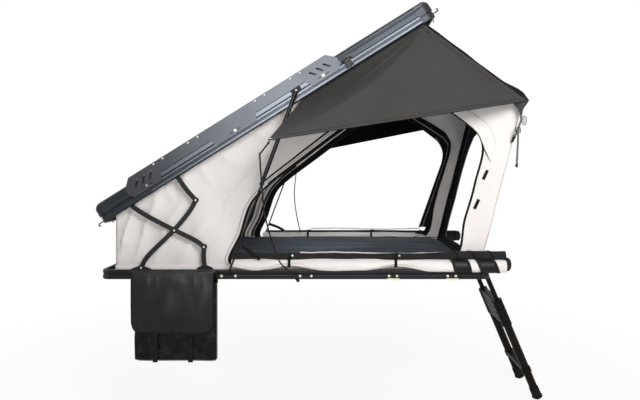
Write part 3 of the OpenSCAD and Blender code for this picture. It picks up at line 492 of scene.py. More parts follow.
# Piped seams, the same canvas made greyer: painted shade of a seam seen edge on; 0.6 mm threads drawn 1.6 mm coarse
PIPING_SHADED = Woven("polycotton_piping_grey", "#b3aeab", "#a09b98", 0.85, specular=0.1, pitch=1.6, patch=90, depth=0.1)
# Awnings and fly, coated polyester: dark grey and nearly matt; 0.4 mm threads drawn 1.8 mm coarse
AWNING_CLOTH = Woven("coated_polyester_grey", "#474645", "#41403f", 0.7, specular=0.02, pitch=1.8, patch=360,
                     depth=0.06, sheen=0.0)
# Sheet under the awning, near black: painted shade of the awning's underside; 0.4 mm threads drawn 2 mm coarse
UNDERSIDE_SHADE = Woven("blackout_polyester_black", "#0c0c0d", "#080809", 0.9, specular=0.03, pitch=2.0, patch=200, depth=0.04,
               sheen=0.0)
# Binding and ties, woven polypropylene tape: black, ribbed across; 1 mm ribs drawn 1.6 mm coarse
TAPE = Woven("polypropylene_tape_black", "#131314", "#0d0d0e", 0.8, specular=0.08, pitch=1.6, patch=60, depth=0.15,
             sheen=0.05)
# Corner straps, polyester webbing: grey with a plain rib; 1.2 mm ribs drawn 1.8 mm coarse
WEBBING = Woven("polyester_webbing_grey", "#6c6e6d", "#5b5d5c", 0.8, specular=0.15, pitch=1.8, patch=50, depth=0.18)
# Insect screen, polyester net: rolled so many layers thick that it reads as dark cloth;
# 1.2 mm mesh drawn 2.2 mm coarse
SCREEN = Woven("polyester_net_black", "#262628", "#1a1a1b", 0.85, specular=0.1, pitch=2.2, patch=70, depth=0.25,
               sheen=0.05)
# Mattress cover, polyester knit: blue-grey; its 2 mm streaks are drawn 9 mm wide so that they show
MATTRESS_KNIT = Streaked("polyester_knit_blue", "#59626d", "#2b3138", 0.85, specular=0.1, pitch=9.0, depth=0.3)
# Bag flap, soft vinyl: black with a broad sheen over shallow dents
VINYL = Creased("vinyl_black", "#101010", "#0c0c0c", 0.42, specular=0.2, pitch=60.0, patch=150, depth=1.6)
# Bag pouch, printed polyester: near-black blots under a gloss
CAMO = Camouflage("printed_polyester_dark", "#151516", "#0a0a0a", 0.3, specular=0.12, pitch=18.0, patch=60, depth=0.6)
# Ladder feet and strut wipers, moulded rubber: dead matt
RUBBER = Finish("rubber_black", "#141415", "#0e0e0f", 0.8, specular=0.15, pitch=1.6, patch=40, depth=0.15)
# Buckles, pole ends and latch levers, moulded nylon: black with a low satin shine
NYLON = Finish("moulded_nylon_black", "#161617", "#101011", 0.45, specular=0.12, pitch=1.0, patch=30, depth=0.05)
# Corner tag, clear vinyl: pale, glossy and see-through
TAG = Clear("clear_vinyl", "#e9edef", "#dfe4e7", 0.15, pitch=6.0, patch=30, depth=0.05)
# Tape on the canvas corners, undyed cotton: beige and matt; 0.8 mm threads drawn 2 mm coarse
COTTON = Woven("cotton_tape_beige", "#d3c8b6", "#bfb4a1", 0.85, specular=0.1, pitch=2.0, patch=20, depth=0.3)


class Shape:
    """Mesh under construction, in millimetres, for one side of the tent.

    Args:
        side: Side that it is on; a far one is the near one mirrored.
    """

    def __init__(self, side: Side = Side.NEAR) -> None:
        """Start with no points."""
        self.side = side
        self.points: list[Vector] = []
        self.faces: list[tuple[int, ...]] = []

    def grid(self, rows: Sequence[Sequence[Vector]], ring: bool = False, ends: bool = False) -> "Shape":
        """Add a surface through rows of points.

        Args:
            rows: Rows of equal count.
            ring: Join each row's end to its start.
            ends: Close the first and the last row.

        Returns:
            This shape.
        """
        start, count = len(self.points), len(rows[0])
        for row in rows:
            self.points.extend(Vector(p) for p in row)
        for j in range(len(rows) - 1):
            for i in range(count if ring else count - 1):
                a, b = start + j * count + i, start + j * count + (i + 1) % count
                self.faces.append((a, b, b + count, a + count))
        if ends:
            last = len(self.points) - count
            self.faces.append(tuple(range(start + count - 1, start - 1, -1)))
            self.faces.append(tuple(range(last, last + count)))
        return self

    def tube(self, route: Sequence[Vector], radius: float | Callable[[float], float], sides: int = 10) -> "Shape":
        """Add a round bar.

        Args:
            route: Points of its middle.
            radius: Its radius, or what gives the radius at a share of the route.
            sides: Its sides.

        Returns:
            This shape.
        """
        rows, side = [], None
        for i, p in enumerate(route):
            way = (route[min(i + 1, len(route) - 1)] - route[max(i - 1, 0)]).normalized()
            if side is None:
                side = way.cross(Vector((0.1, 0.3, 1.0))).normalized()
            side = (side - way * side.dot(way)).normalized()
            up = way.cross(side)
            r = radius(i / (len(route) - 1)) if callable(radius) else radius
            rows.append([p + r * (math.cos(a) * side + math.sin(a) * up) for a in turns(sides)])
        return self.grid(rows, ring=True, ends=True)

    def strap(self, route: Sequence[Vector], across: Vector, width: float, thick: float) -> "Shape":
        """Add a flat band.

        Args:
            route: Points of its middle.
            across: Way that its width lies in.
            width: Its width.
            thick: Its thickness.

        Returns:
            This shape.
        """
        rows = []
        for i, p in enumerate(route):
            way = (route[min(i + 1, len(route) - 1)] - route[max(i - 1, 0)]).normalized()
            wide = (across - way * across.dot(way)).normalized()
            out = way.cross(wide)
            rows.append([p + wide * (a * width / 2) + out * (b * thick / 2)
                         for a, b in ((-1, -1), (-1, 1), (1, 1), (1, -1))])
        return self.grid(rows, ring=True, ends=True)

    def turned(self, base: Vector, axis: Vector, profile: Outline, sides: int = 16) -> "Shape":
        """Add a turned piece.

        Args:
            base: Start of its axis.
            axis: Way of its axis.
            profile: Distances along the axis, each with the radius there.
            sides: Its sides.

        Returns:
            This shape.
        """
        way = axis.normalized()
        side = way.orthogonal().normalized()
        up = way.cross(side)
        rows = [[base + way * d + r * (math.cos(a) * side + math.sin(a) * up) for a in turns(sides)]
                for d, r in profile]
        return self.grid(rows, ring=True, ends=True)

    def plate(self, outline: Sequence[Vector], depth: Vector) -> "Shape":
        """Add a flat plate with an outline and a depth."""
        return self.grid([list(outline), [p + depth for p in outline]], ring=True, ends=True)

    def piece(self, name: str, finish: Finish, body: str, thick: float = 0.0, soften: int = 0,
              bevel: float = 0.0, sharp: float = 40.0) -> bpy.types.Object:
        """Make the object and let it ride on a body.

        Args:
            name: Name of the piece.
            finish: Its surface.
            body: Body that carries it.
            thick: Thickness given to an open sheet.
            soften: Levels of subdivision.
            bevel: Width of its rounded edges.
            sharp: Angle in degrees above which an edge stays sharp.

        Returns:
            The object.
        """
        mesh = bpy.data.meshes.new(name)
        flip = self.side.value
        mesh.from_pydata([(p.x * MM, p.y * MM * flip, p.z * MM) for p in self.points], [], self.faces)
        work = bmesh.new()
        work.from_mesh(mesh)
        bmesh.ops.remove_doubles(work, verts=work.verts, dist=1e-6)
        bmesh.ops.recalc_face_normals(work, faces=work.faces)
        work.to_mesh(mesh)
        work.free()
        mesh.shade_smooth()
        mesh.set_sharp_from_angle(angle=math.radians(sharp))
        made = bpy.data.objects.new(name, mesh)
        bpy.context.scene.collection.objects.link(made)
        mesh.materials.append(finish.material())
        if bevel:
            edge = made.modifiers.new("edge", "BEVEL")
            edge.width, edge.segments, edge.limit_method = bevel * MM, 2, "ANGLE"
        if soften:
            made.modifiers.new("soften", "SUBSURF").render_levels = soften
            made.modifiers["soften"].levels = soften
        if thick:
            made.modifiers.new("thick", "SOLIDIFY").thickness = thick * MM
            made.modifiers["thick"].offset = 0.0
        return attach(made, body)


def coat(finish: Finish, *nodes: str) -> None:
    """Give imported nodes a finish.

    Args:
        finish: Their surface.
        nodes: Names of the nodes.
    """
    for name in nodes:
        mesh = frame["nodes"][name].data
        mesh.materials.clear()
        mesh.materials.append(finish.material())
        LOG.info("%s on %s", finish.name, name)


def fold_down(obj: bpy.types.Object) -> None:
    """Give a base-borne cloth its own mesh."""
    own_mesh(obj)


def fold_front(obj: bpy.types.Object, out: float = -14.0, keep: float = 0.003) -> None:
    """Give a cloth on the spreaders its own mesh."""
    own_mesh(obj)


@dataclass
class SideWall:
    """Long canvas wall with its door opening, trims, zip and hem.

    Args:
        side: Long side that it is on.
        y: Its place across on the near side.
        ripple: Height of its tension waves.
        pitch: Length of its tension waves.
        split: First and last corner of the part that folds with the front spreaders.
        door: Corners of the door opening in the side view.
        rear: Place of its rear edge.
        foot: Height of its lower edge.
        rear_top: Its upper rear corner.
        front_top: Its corner under the lid's front.
        peak: Its corner under the fly's front edge.
        front_foot: Its lower front corner.
        tabs: Places of the window tabs.
        hem: Heights of the hem's lines.
        hem_y: Place of the hem across.
        seam: Place across and height of the rear corner's seam.
        flap: Inner and outer edge of the rain flap in the side view.
        far_tape: Inner and outer edge of the far door's inner tape in the side view.
        far_tape_y: Places of those edges across.
        steps: Steps between two corners.
        rim: Points of its outer edge that match those of the door.
        edge: Points of the door's edge.
    """

    side: Side
    y: float = -592.0
    ripple: float = 5.0
    pitch: float = 260.0
    split: tuple[int, int] = (8, 14)
    door: Outline = (
        (-364, 72), (-310, 241), (-252, 408), (-150, 515), (40, 658), (230, 800), (438, 946), (600, 1015),
        (745, 978), (863, 910), (968, 850), (1034, 720), (990, 520), (935, 320), (870, 94), (600, 72),
        (240, 72), (-100, 72))
    rear: float = -1004.0
    foot: float = 24.3
    rear_top: tuple[float, float] = (-1004.0, 346.2)
    front_top: tuple[float, float] = (643.37, 1382.22)
    peak: tuple[float, float] = (1245.57, 935.70)
    front_foot: tuple[float, float] = (1011.0, 24.3)
    tabs: Outline = ((1049, 566), (999, 404))
    hem: tuple[float, ...] = (28.0, 40.0, 52.0, 66.0)
    hem_y: float = -598.0
    seam: tuple[float, float] = (-587.0, 322.0)
    flap: tuple[Outline, Outline] = (
        ((852, 918), (960, 836), (1010, 784), (1046, 700), (1075, 641)),
        ((955, 926), (1062, 850), (1096, 782), (1103, 736), (1076, 642)))
    far_tape: tuple[Outline, Outline] = (
        ((780, 957), (960, 836), (1030, 785), (1045, 726), (961, 481), (844, 150)),
        ((812, 1016), (1000, 905), (1066, 846), (1089, 740), (1006, 461), (903, 150)))
    far_tape_y: tuple[float, float] = (-575.0, -577.0)
    steps: int = 20
    rim: list[Vector] = field(default_factory=list)
    edge: list[Vector] = field(default_factory=list)

    def __post_init__(self) -> None:
        """Lay out the door's edge and the rim round it."""
        back, top, peak, toe = (xz(*p) for p in (self.rear_top, self.front_top, self.peak, self.front_foot))
        corners = [xz(self.rear, self.foot), xz(self.rear, (self.foot + back.z) / 2), back]
        corners += [mix(back, top, s) for s in (0.25, 0.45, 0.62, 0.8)] + [top]
        corners += [mix(top, peak, s) for s in (0.4, 0.75)] + [peak]
        corners += [mix(peak, toe, s) for s in (0.22, 0.45, 0.7)] + [toe]
        corners += [xz(x, self.foot) for x in (600, 240, -100)]
        count = len(corners)
        self.rim = [mix(corners[i], corners[(i + 1) % count], k / self.steps)
                    for i in range(count) for k in range(self.steps)]
        self.edge = curve([xz(*p) for p in self.door], self.steps, closed=True)

    def relief(self, p: Vector) -> float:
        """Find how far the cloth lies inside its plane.

        Args:
            p: Place in the side view.

        Returns:
            The distance, from waves, slack, the rear pleats and the pulls under the lid.
        """
        rise = math.sin(math.pi * min(1.0, max(0.0, p.z / 700)))
        wave = self.ripple * math.sin(math.tau * (p.x + 0.55 * p.z) / self.pitch) * (0.35 + 0.65 * rise * rise)
        slack = crumple(Vector((p.x * 0.6 + p.z * 0.5, 0, p.z * 0.9 - p.x * 0.7)), 150, 5.0, self.side.value)
        if self.side is Side.FAR:
            slack += crumple(Vector((p.x + 0.4 * p.z, 0, 0.35 * p.z)), 45, 7.0, 5.0) * smooth(p.x, 760, 900)
        edge = smooth(p.x, self.rear, self.rear + 50)
        under = p.z - LID.z - (p.x - LID.x) * math.tan(math.radians(LID.angle))
        way = p.x - 0.35 * p.z + 18 * math.sin(p.z / 85) + 9 * math.sin(p.z / 37)
        fold = ridge(way / 47 + 1.6 * math.sin(p.x / 150)) ** 2
        pleat = 19 * fold * edge * (1 - smooth(p.x, -620, -380)) * smooth(p.z, 40, 150)
        pull = 21 * ridge((p.x + 0.55 * under) / 41 + math.sin(p.x / 97)) ** 3 * smooth(under, -230, -20)
        return wave + slack + crumple(p, 55, 1.6, 3.0) - pleat - pull * edge

    def on_cloth(self, p: Vector, lift: float) -> Vector:
        """Point at a place in the side view, lifted out of the cloth."""
        return Vector((p.x, self.y + self.relief(p) - lift, p.z))

    def spot(self, k: int, gap: float = 0.0, lift: float = 0.0, share: float | None = None) -> Vector:
        """Point on the wall.

        Args:
            k: Place round the door, in steps.
            gap: Distance from the door's edge.
            lift: Distance out of the cloth.
            share: Share of the way to the rim, in place of gap.

        Returns:
            The point on the near side.
        """
        a, b = self.edge[k % len(self.edge)], self.rim[k % len(self.rim)]
        p = mix(a, b, gap / (b - a).length if share is None else share)
        return self.on_cloth(p, lift)

    def panel(self, first: int, last: int, rows: int = 64) -> Shape:
        """Cloth between two corners of the outline."""
        ks = range(first * self.steps, last * self.steps + 1)
        return Shape(self.side).grid([[self.spot(k, share=j / rows) for k in ks] for j in range(rows + 1)])

    def band(self, first: float, last: float, gaps: Sequence[float], lift: float) -> Shape:
        """Make a tape that follows the door's edge, crowned between its sides.

        Args:
            first: Corner where it starts.
            last: Corner where it ends.
            gaps: Distances of its lines from the door's edge.
            lift: Distance out of the cloth.

        Returns:
            The shape.
        """
        crown = math.copysign(1.4, lift)
        ks = range(round(first * self.steps), round(last * self.steps) + 1)
        high = [lift + (crown if 0 < i < len(gaps) - 1 else 0.0) for i in range(len(gaps))]
        return Shape(self.side).grid([[self.spot(k, g, h) for k in ks] for g, h in zip(gaps, high)])

    def build(self) -> None:
        """Make the wall's two panels, hem and seams."""
        tag = self.side.tag
        first, last = self.split
        count = len(self.door)
        main = self.panel(last, count + first).piece(f"canvas_{tag}", CANVAS, "base", thick=WALL_CLOTH)
        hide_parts(f"wall_{tag}")
        front = self.panel(first, last).piece(f"canvas_front_{tag}", CANVAS, "spreaders", thick=WALL_CLOTH)
        hem = [[Vector((x, self.hem_y - 3 * (z > self.hem[1]) + crumple(Vector((x, z, 0)), 90, 2.5), z))
                for x in range(-1006, 1012, 12)] for z in self.hem]
        sill = Shape(self.side).grid(hem).piece(f"hem_{tag}", CANVAS, "base", thick=BOUND_TAPE)
        y, height = self.seam
        seam = Shape(self.side).tube([xz(self.rear, self.foot + height * i / 12, y) for i in range(13)], 3.5)
        for part in (sill, main, seam.piece(f"corner_seam_{tag}", PIPING_SHADED, "base")):
            fold_down(part)
        fold_front(front)
        self.dress()

    def dress(self) -> None:
        """Make the tapes, piping, zip and tabs."""
        tag = self.side.tag
        count = len(self.door)
        first, last = self.split
        down = [self.band(a, b, gaps, lift).piece(f"{name}_{tag}", TAPE, "base", BOUND_TAPE)
                for name, a, b, gaps, lift in (
                    ("door_tape", count - 0.2, count + 3, (-4, 2, 8), 2.2),
                    ("door_tape_top", count + 3, count + first, (-5, 4, 14), 2.2),
                    ("door_tape_line", count + 3, count + first, (34, 39, 44), 1.6),
                    ("door_facing", count - 0.2, count + first, (-6, 18, 42), -2.2),
                    ("sill_tape", last, count - 0.2, (-4, 8, 16), 2.2))]
        foot_seam = [self.on_cloth(xz(x, 88), 1) for x in range(-998, -640, 12)]
        seam = [self.spot(k, 105 + 40 * math.sin(k / self.steps / 2.25), 1.5) for k in range(2, 6 * self.steps)]
        piping = [self.spot(k, 24, 2.5) for k in range(-1, (first - 1) * self.steps)]
        down += [Shape(self.side).tube(piping, 2.2).piece(f"door_piping_{tag}", PIPING_SHADED, "base"),
                 Shape(self.side).tube(seam, 2.6).piece(f"panel_seam_{tag}", CANVAS, "base")]
        for gap, finish in ((46, SCREEN), (78, PIPING_SHADED), (112, SCREEN), (140, PIPING_SHADED)):
            folds = self.band(count + 0.1, count + 3.6, (gap, gap + 9, gap + 18), -3.5)
            down.append(folds.piece(f"screen_fold_{gap}_{tag}", finish, "base", 3.0))
        down.append(Shape(self.side).tube(foot_seam, 1.7, 8).piece(f"foot_seam_{tag}", CANVAS, "base"))
        for part in down:
            fold_down(part)
        tabs = Shape(self.side)
        for x, z in self.tabs:
            y = self.on_cloth(xz(x, z), 3).y
            tabs.strap([Vector((x + 12 - 6 * i, y, z + 26 - 13 * i)) for i in range(5)], Vector((1, 0, -0.4)), 17, 3)
        front = [
            self.band(first, last, (-3, 2, 7), 2.4).piece(f"zip_{tag}", TAPE, "spreaders", 2.4),
            self.band(first, last, (-4, 14, 34), -2.2).piece(f"zip_facing_{tag}", TAPE, "spreaders", BOUND_TAPE),
            tabs.piece(f"window_tabs_{tag}", TAPE, "spreaders"),
            Shape(self.side).tube([self.on_cloth(p, -1) for p in self.corner()], 3.2)
            .piece(f"front_seam_{tag}", COTTON, "spreaders")]
        for part in front + self.pelmet() + self.inner_edges():
            fold_front(part)

    def inner_edges(self) -> list[bpy.types.Object]:
        """Make the inside binding of the front corner and, on the far side, the door's double inner tape.

        Returns:
            The pieces.
        """
        tag = self.side.tag
        rows = [[self.on_cloth(p - AHEAD * gap, -5) for p in self.corner()] for gap in (2, 10, 18, 26, 34)]
        parts = [Shape(self.side).grid(rows).piece(f"corner_binding_{tag}", TAPE, "spreaders", thick=BOUND_TAPE)]
        if self.side is Side.FAR:
            left, right = (curve([xz(*p, y) for p in line], 8) for y, line in zip(self.far_tape_y, self.far_tape))
            for name, finish, shares in (("inner", TAPE, (0.0, 0.2, 0.42)), ("line", PIPING_SHADED, (0.42, 0.47, 0.52)),
                                         ("outer", TAPE, (0.52, 0.76, 1.0))):
                rows = [[mix(a, b, share) + Vector((0, 2.5 * (k == 1), 0)) for a, b in zip(left, right)]
                        for k, share in enumerate(shares)]
                parts.append(Shape(self.side).grid(rows).piece(f"door_edge_{name}_{tag}", finish, "spreaders", 1.8))
        return parts

    def corner(self) -> Route:
        """Line of the front corner in the side view."""
        return [mix(xz(*self.peak), xz(*self.front_foot), i / 24) for i in range(25)]

    def pelmet(self) -> list[bpy.types.Object]:
        """Make the rain flap over the door's top front corner and its bound edge.

        Returns:
            The flap and its edge.
        """
        tag = self.side.tag
        inner, outer = (curve([xz(*p) for p in line], 8) for line in self.flap)
        count, last = len(inner), 6
        rows = [[self.on_cloth(mix(a, b, j / last), 3.0 + 9.0 * (1 - j / last) * (1 - i / count))
                 for i, (a, b) in enumerate(zip(inner, outer))] for j in range(last + 1)]
        flap = Shape(self.side).grid(rows).piece(f"rain_flap_{tag}", CANVAS, "spreaders", thick=1.6)
        edge = Shape(self.side).tube(rows[0], lambda t: 4.5 - 3.0 * t, 8)
        return [flap, edge.piece(f"rain_flap_edge_{tag}", TAPE, "spreaders")]


@dataclass
class EndWalls:
    """Low rear wall and the leaning front wall with its open door.

    Args:
        half: Half of their width.
        rear: Place of the rear wall.
        foot: Height of their lower edges.
        rear_height: Height of the rear wall.
        toe: Lower edge of the front wall in the side view.
        peak: Upper edge of the front wall in the side view.
    """

    half: float = 580.0
    rear: float = -1001.0
    foot: float = 24.3
    rear_height: float = 322.0
    toe: tuple[float, float] = (1007.0, 24.3)
    peak: tuple[float, float] = (1241.57, 935.70)

    def front_spot(self, y: float, climb: float, inward: float = 0.0) -> Vector:
        """Find a point on the front wall.

        Args:
            y: Place across.
            climb: Share of the wall's height.
            inward: Distance inside the cloth.

        Returns:
            The point.
        """
        p = mix(xz(*self.toe), xz(*self.peak), climb)
        wave = crumple(Vector((y, 0, p.z)), 130, 5.0, 2.0) * math.sin(math.pi * min(1, max(0, climb)))
        return Vector((p.x - inward + wave, y, p.z))

    def build(self) -> None:
        """Make both walls with their tapes."""
        rows = []
        for j in range(11):
            t = j / 10
            rows.append([Vector((self.rear + (3.0 * math.sin(math.tau * y / 260) + crumple(xz(y, t * 300), 110, 3.0))
                                 * math.sin(math.pi * t), y, self.foot + self.rear_height * t))
                         for y in (self.half * (i / 30 - 1) for i in range(61))])
        rear = Shape().grid(rows).piece("canvas_rear", CANVAS, "base", thick=WALL_CLOTH)
        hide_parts("wall_rear")
        fold_down(rear)
        half = self.half
        outer = [(-half, 0), (-half, 0.35), (-half, 0.7), (-half, 1), (-half / 2, 1), (0, 1), (half / 2, 1), (half, 1),
                 (half, 0.7), (half, 0.35), (half, 0), (half / 2, 0), (0, 0), (-half / 2, 0)]
        inner = [(-half + 130, 0.1), (-half + 120, 0.35), (-half + 120, 0.66), (-half + 190, 0.84), (-half / 2, 0.9),
                 (0, 0.91), (half / 2, 0.9), (half - 190, 0.84), (half - 120, 0.66), (half - 120, 0.35),
                 (half - 130, 0.1), (half / 2, 0.08), (0, 0.08), (-half / 2, 0.08)]
        steps = 8
        door = curve([xz(*p) for p in inner], steps, closed=True)
        rim = [mix(xz(*a), xz(*b), k / steps) for a, b in zip(outer, outer[1:] + outer[:1]) for k in range(steps)]
        ring = [[self.front_spot(p.x, p.z) for p in (mix(a, b, j / 8) for a, b in zip(door, rim))] for j in range(9)]
        front = Shape().grid(ring, ring=True).piece("canvas_front", CANVAS, "spreaders", thick=WALL_CLOTH)
        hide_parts("wall_front")
        tape = Shape()
        for inward, shares in ((-2.5, (-0.02, 0.08, 0.2)), (2.5, (-0.02, 0.28, 0.58, 0.86))):
            tape.grid([[self.front_spot(p.x, p.z, inward) for p in (mix(a, b, s) for a, b in zip(door, rim))]
                       for s in shares], ring=True)
        edge = tape.piece("front_door_tape", TAPE, "spreaders", thick=BOUND_TAPE)
        for part in (front, edge):
            fold_front(part)


@dataclass
class Mattress:
    """Foam mattress in a knitted cover that a cloth simulation fills out.

    Args:
        voxel: Size of the remesh's cells.
        pressure: Pressure inside the cover.
        frames: Steps of the simulation.
        cap: Most that a point may move.
        floor: Height of the floor panel's top.
        piping: Radius of the piping.
        corner: Cut of the piping's corners.
        drop: Distance of the piping below the pad's top.
    """

    voxel: float = 22.0
    pressure: float = 4.0
    frames: int = 20
    cap: float = 7.0
    floor: float = 24.3
    piping: float = 3.4
    corner: float = 40.0
    drop: float = 16.0

    def build(self) -> None:
        """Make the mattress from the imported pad."""
        pad = frame["nodes"]["mattress"]
        mesh = pad.data.copy()
        cover = bpy.data.objects.new("mattress_cover", mesh)
        bpy.context.scene.collection.objects.link(cover)
        remesh = cover.modifiers.new("cells", "REMESH")
        remesh.mode, remesh.voxel_size = "VOXEL", self.voxel * MM
        self.apply(cover)
        self.inflate(cover)
        cover.data.materials.clear()
        cover.data.materials.append(MATTRESS_KNIT.material())
        cover.data.shade_smooth()
        finer = cover.modifiers.new("soften", "SUBSURF")
        finer.levels = finer.render_levels = 1
        self.apply(cover)
        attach(cover, "base")
        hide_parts("mattress")
        low, high = (Vector(p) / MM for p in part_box("mattress"))
        c = self.corner
        ring = [Vector((x, y, high.z - self.drop)) for x, y in (
            (low.x + c, low.y), (high.x - c, low.y), (high.x, low.y + c), (high.x, high.y - c),
            (high.x - c, high.y), (low.x + c, high.y), (low.x, high.y - c), (low.x, low.y + c))]
        route = [mix(a, b, k / 12) for a, b in zip(ring, ring[1:] + ring[:1]) for k in range(12)]
        Shape().tube(route + route[:1], self.piping, 8).piece("mattress_piping", MATTRESS_KNIT, "base")

    def apply(self, obj: bpy.types.Object) -> None:
        """Turn the modified shape into the object's own mesh.

        Args:
            obj: Object that loses its modifiers.
        """
        graph = bpy.context.evaluated_depsgraph_get()
        graph.update()
        shaped = bpy.data.meshes.new_from_object(obj.evaluated_get(graph))
        obj.modifiers.clear()
        obj.data = shaped

    def inflate(self, obj: bpy.types.Object) -> None:
        """Run the cloth and keep each point near its start and off the floor.

        Args:
            obj: Cover that swells.
        """
        start = [v.co.copy() for v in obj.data.vertices]
        cloth = obj.modifiers.new("cloth", "CLOTH")
        cloth.settings.use_pressure = True
        cloth.settings.uniform_pressure_force = self.pressure
        cloth.settings.effector_weights.gravity = 0.0
        cloth.point_cache.frame_start, cloth.point_cache.frame_end = 1, self.frames
        scene = bpy.context.scene
        for step in range(1, self.frames + 1):
            scene.frame_set(step)
        self.apply(obj)
        scene.frame_set(1)
        for vertex, old in zip(obj.data.vertices, start):
            move = vertex.co - old
            if move.length > self.cap * MM:
                move *= self.cap * MM / move.length
            vertex.co = old + move
            vertex.co.z = max(vertex.co.z, self.floor * MM)


# Gives the middle and the radius of a roll at a place along it
Spot = Callable[[float], tuple[Vector, float]]


@dataclass
class DoorRolls:
    """Rolled-down canvas door and insect screen on a sill, with ties, wrapped bands and a dark end.

    Args:
        side: Long side that they are on.
        screen: Radius of the screen roll at its rear and at its front end.
        ties: Places of the ties along the sill.
        y: Place of the rolls across on the near side.
        rear: Rear end of the canvas roll.
        front: Front end of both rolls.
        radius: Radius of the canvas roll.
        middle: Height of the canvas roll's middle.
        cut: Where the part begins that folds with the front spreaders.
        sides: Points round a roll.
        bands: Name, body, place, width and slant of the wrapped bands.
        seams: Place and slant of the screen's seams on the sill.
        front_seam: Place and slant of its seam in front of them.
        lash: Points of the strap at the rear end.
        cap: Distance and radius along the dark end.
    """

    side: Side
    screen: tuple[float, float]
    ties: tuple[float, float]
    y: float = -636.0
    rear: float = -353.0
    front: float = 1178.0
    radius: float = 32.5
    middle: float = 86.0
    cut: float = 1000.0
    sides: int = 32
    bands: tuple[tuple[str, str, float, float, float], ...] = (
        ("rear", "base", 836, 94, 32), ("front", "spreaders", 971, 100, 42))
    seams: Outline = ((858, 30), (943, 45))
    front_seam: tuple[float, float] = (1045, 37)
    lash: Points = ((-306, -604, 172), (-262, -640, 152), (-222, -668, 130), (-192, -674, 110))
    cap: Outline = ((0, 30), (8, 37), (26, 39), (37, 36.5), (44, 28), (48, 16), (50, 5))

    def full(self, x: float) -> float:
        """0 at a tie, low at the rear end and 1 where the roll swells freely."""
        spans = [abs(x - tie) / 180 for tie in self.ties] + [(x - self.rear) / 190 + 0.3]
        return smooth(min(spans), 0.0, 1.0)

    def canvas(self, x: float) -> tuple[Vector, float]:
        """Find the canvas roll's middle and radius.

        Args:
            x: Place along it.

        Returns:
            The middle and the radius.
        """
        full, front = self.full(x), smooth(x, 560, 880)
        centre = Vector((x, self.y - 11 * full - 6 * front, self.middle - 2 - 10 * full - 5 * front))
        return centre, self.radius * (0.56 + 0.53 * full)

    def net(self, x: float) -> tuple[Vector, float]:
        """Find the screen roll's middle and radius.

        Args:
            x: Place along it.

        Returns:
            The middle and the radius.
        """
        front = smooth(x, 560, 950)
        r = self.screen[0] + (self.screen[1] - self.screen[0]) * front
        return Vector((x, self.y - 4, self.middle + 18 + r - 4 * front)), r

    def ring(self, x: float, spot: Spot, seed: float, share: float = 1.0) -> Route:
        """Draw the outline of a roll: lapped, loose and fluted near its ties.

        Args:
            x: Place along it.
            spot: Middle and radius of the roll.
            seed: Choice of its dents.
            share: Share of the radius.

        Returns:
            The outline.
        """
        centre, r = spot(x)
        flute = 0.13 * r * (1 - self.full(x))
        row = []
        for k, a in enumerate(turns(self.sides)):
            way = spoke(a)
            lap = 1.8 * ((k / self.sides + 0.15 * math.sin(x / 260)) % 1.0)
            rough = crumple(Vector((x * 0.3, 60 * way.y, 60 * way.z)), 42, 0.09 * r, seed)
            row.append(centre + way * (r - 1.6 + lap + rough + flute * math.sin(7 * a + x / 55)) * share)
        return row

    def roll(self, x0: float, x1: float, spot: Spot, seed: float) -> Shape:
        """Make loosely rolled cloth with a hollow in its front end.

        Args:
            x0: Its rear end.
            x1: Its front end.
            spot: Middle and radius of the roll.
            seed: Choice of its dents.

        Returns:
            The shape.
        """
        count = max(6, round((x1 - x0) / 12))
        rows = [self.ring(x0 + (x1 - x0) * i / count, spot, seed) for i in range(count + 1)]
        for share, back in ((0.86, 0.0), (0.72, 6.0), (0.5, 16.0)):
            rows.append([p - AHEAD * back for p in self.ring(x1, spot, seed, share)])
        return Shape(self.side).grid(rows, ring=True, ends=True)

    def wrap(self, shape: Shape, spot: Spot, start: float, width: float, slant: float, lift: float) -> Shape:
        """Add a band that winds over the outer side of a roll.

        Args:
            shape: Shape that takes the band.
            spot: Middle and radius of the roll.
            start: Place of the band's rear edge on top of the roll.
            width: Width of the band.
            slant: Way that it runs forward from top to bottom.
            lift: Height over the roll.

        Returns:
            The shape.
        """
        rows = []
        for i in range(9):
            row = []
            for k in range(29):
                turn = 40 + 280 * k / 28
                x = start + width * i / 8 + slant * (turn - 90) / 180
                centre, r = spot(x)
                row.append(centre + spoke(math.radians(turn)) * (r + lift))
            rows.append(row)
        return shape.grid(rows)

    def flat(self, obj: bpy.types.Object, z: float = 70.0, y: float = -620.0) -> None:
        """Give a roll its own mesh."""
        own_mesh(obj)

    def build(self) -> None:
        """Make the rolls and their front ends."""
        tag = self.side.tag
        main = self.roll(self.rear, self.cut, self.canvas, 1.0).piece(f"door_roll_{tag}_canvas", CANVAS, "base")
        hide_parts(f"door_roll_{tag}")
        net = self.roll(self.rear + 30, self.cut, self.net, 5.0).piece(f"door_roll_{tag}_screen", SCREEN, "base")
        self.flat(main)
        self.flat(net, 100, -610)
        tail = self.roll(self.cut, self.front - 36, self.canvas, 1.0)
        # The far roll's canvas end takes the dark screen finish: painted shade for its place behind the front door
        tail = tail.piece(f"roll_tail_{tag}", CANVAS if self.side is Side.NEAR else SCREEN, "spreaders")
        end = self.roll(self.cut, self.front - 33, self.net, 5.0).piece(f"screen_tail_{tag}", SCREEN, "spreaders")
        nub = Shape(self.side).turned(Vector((self.front - 50, self.y - 2, 76)), AHEAD, self.cap, 28)
        for part in (tail, end, nub.piece(f"roll_cap_{tag}", SCREEN, "spreaders", soften=1)):
            fold_front(part)
        self.dress()

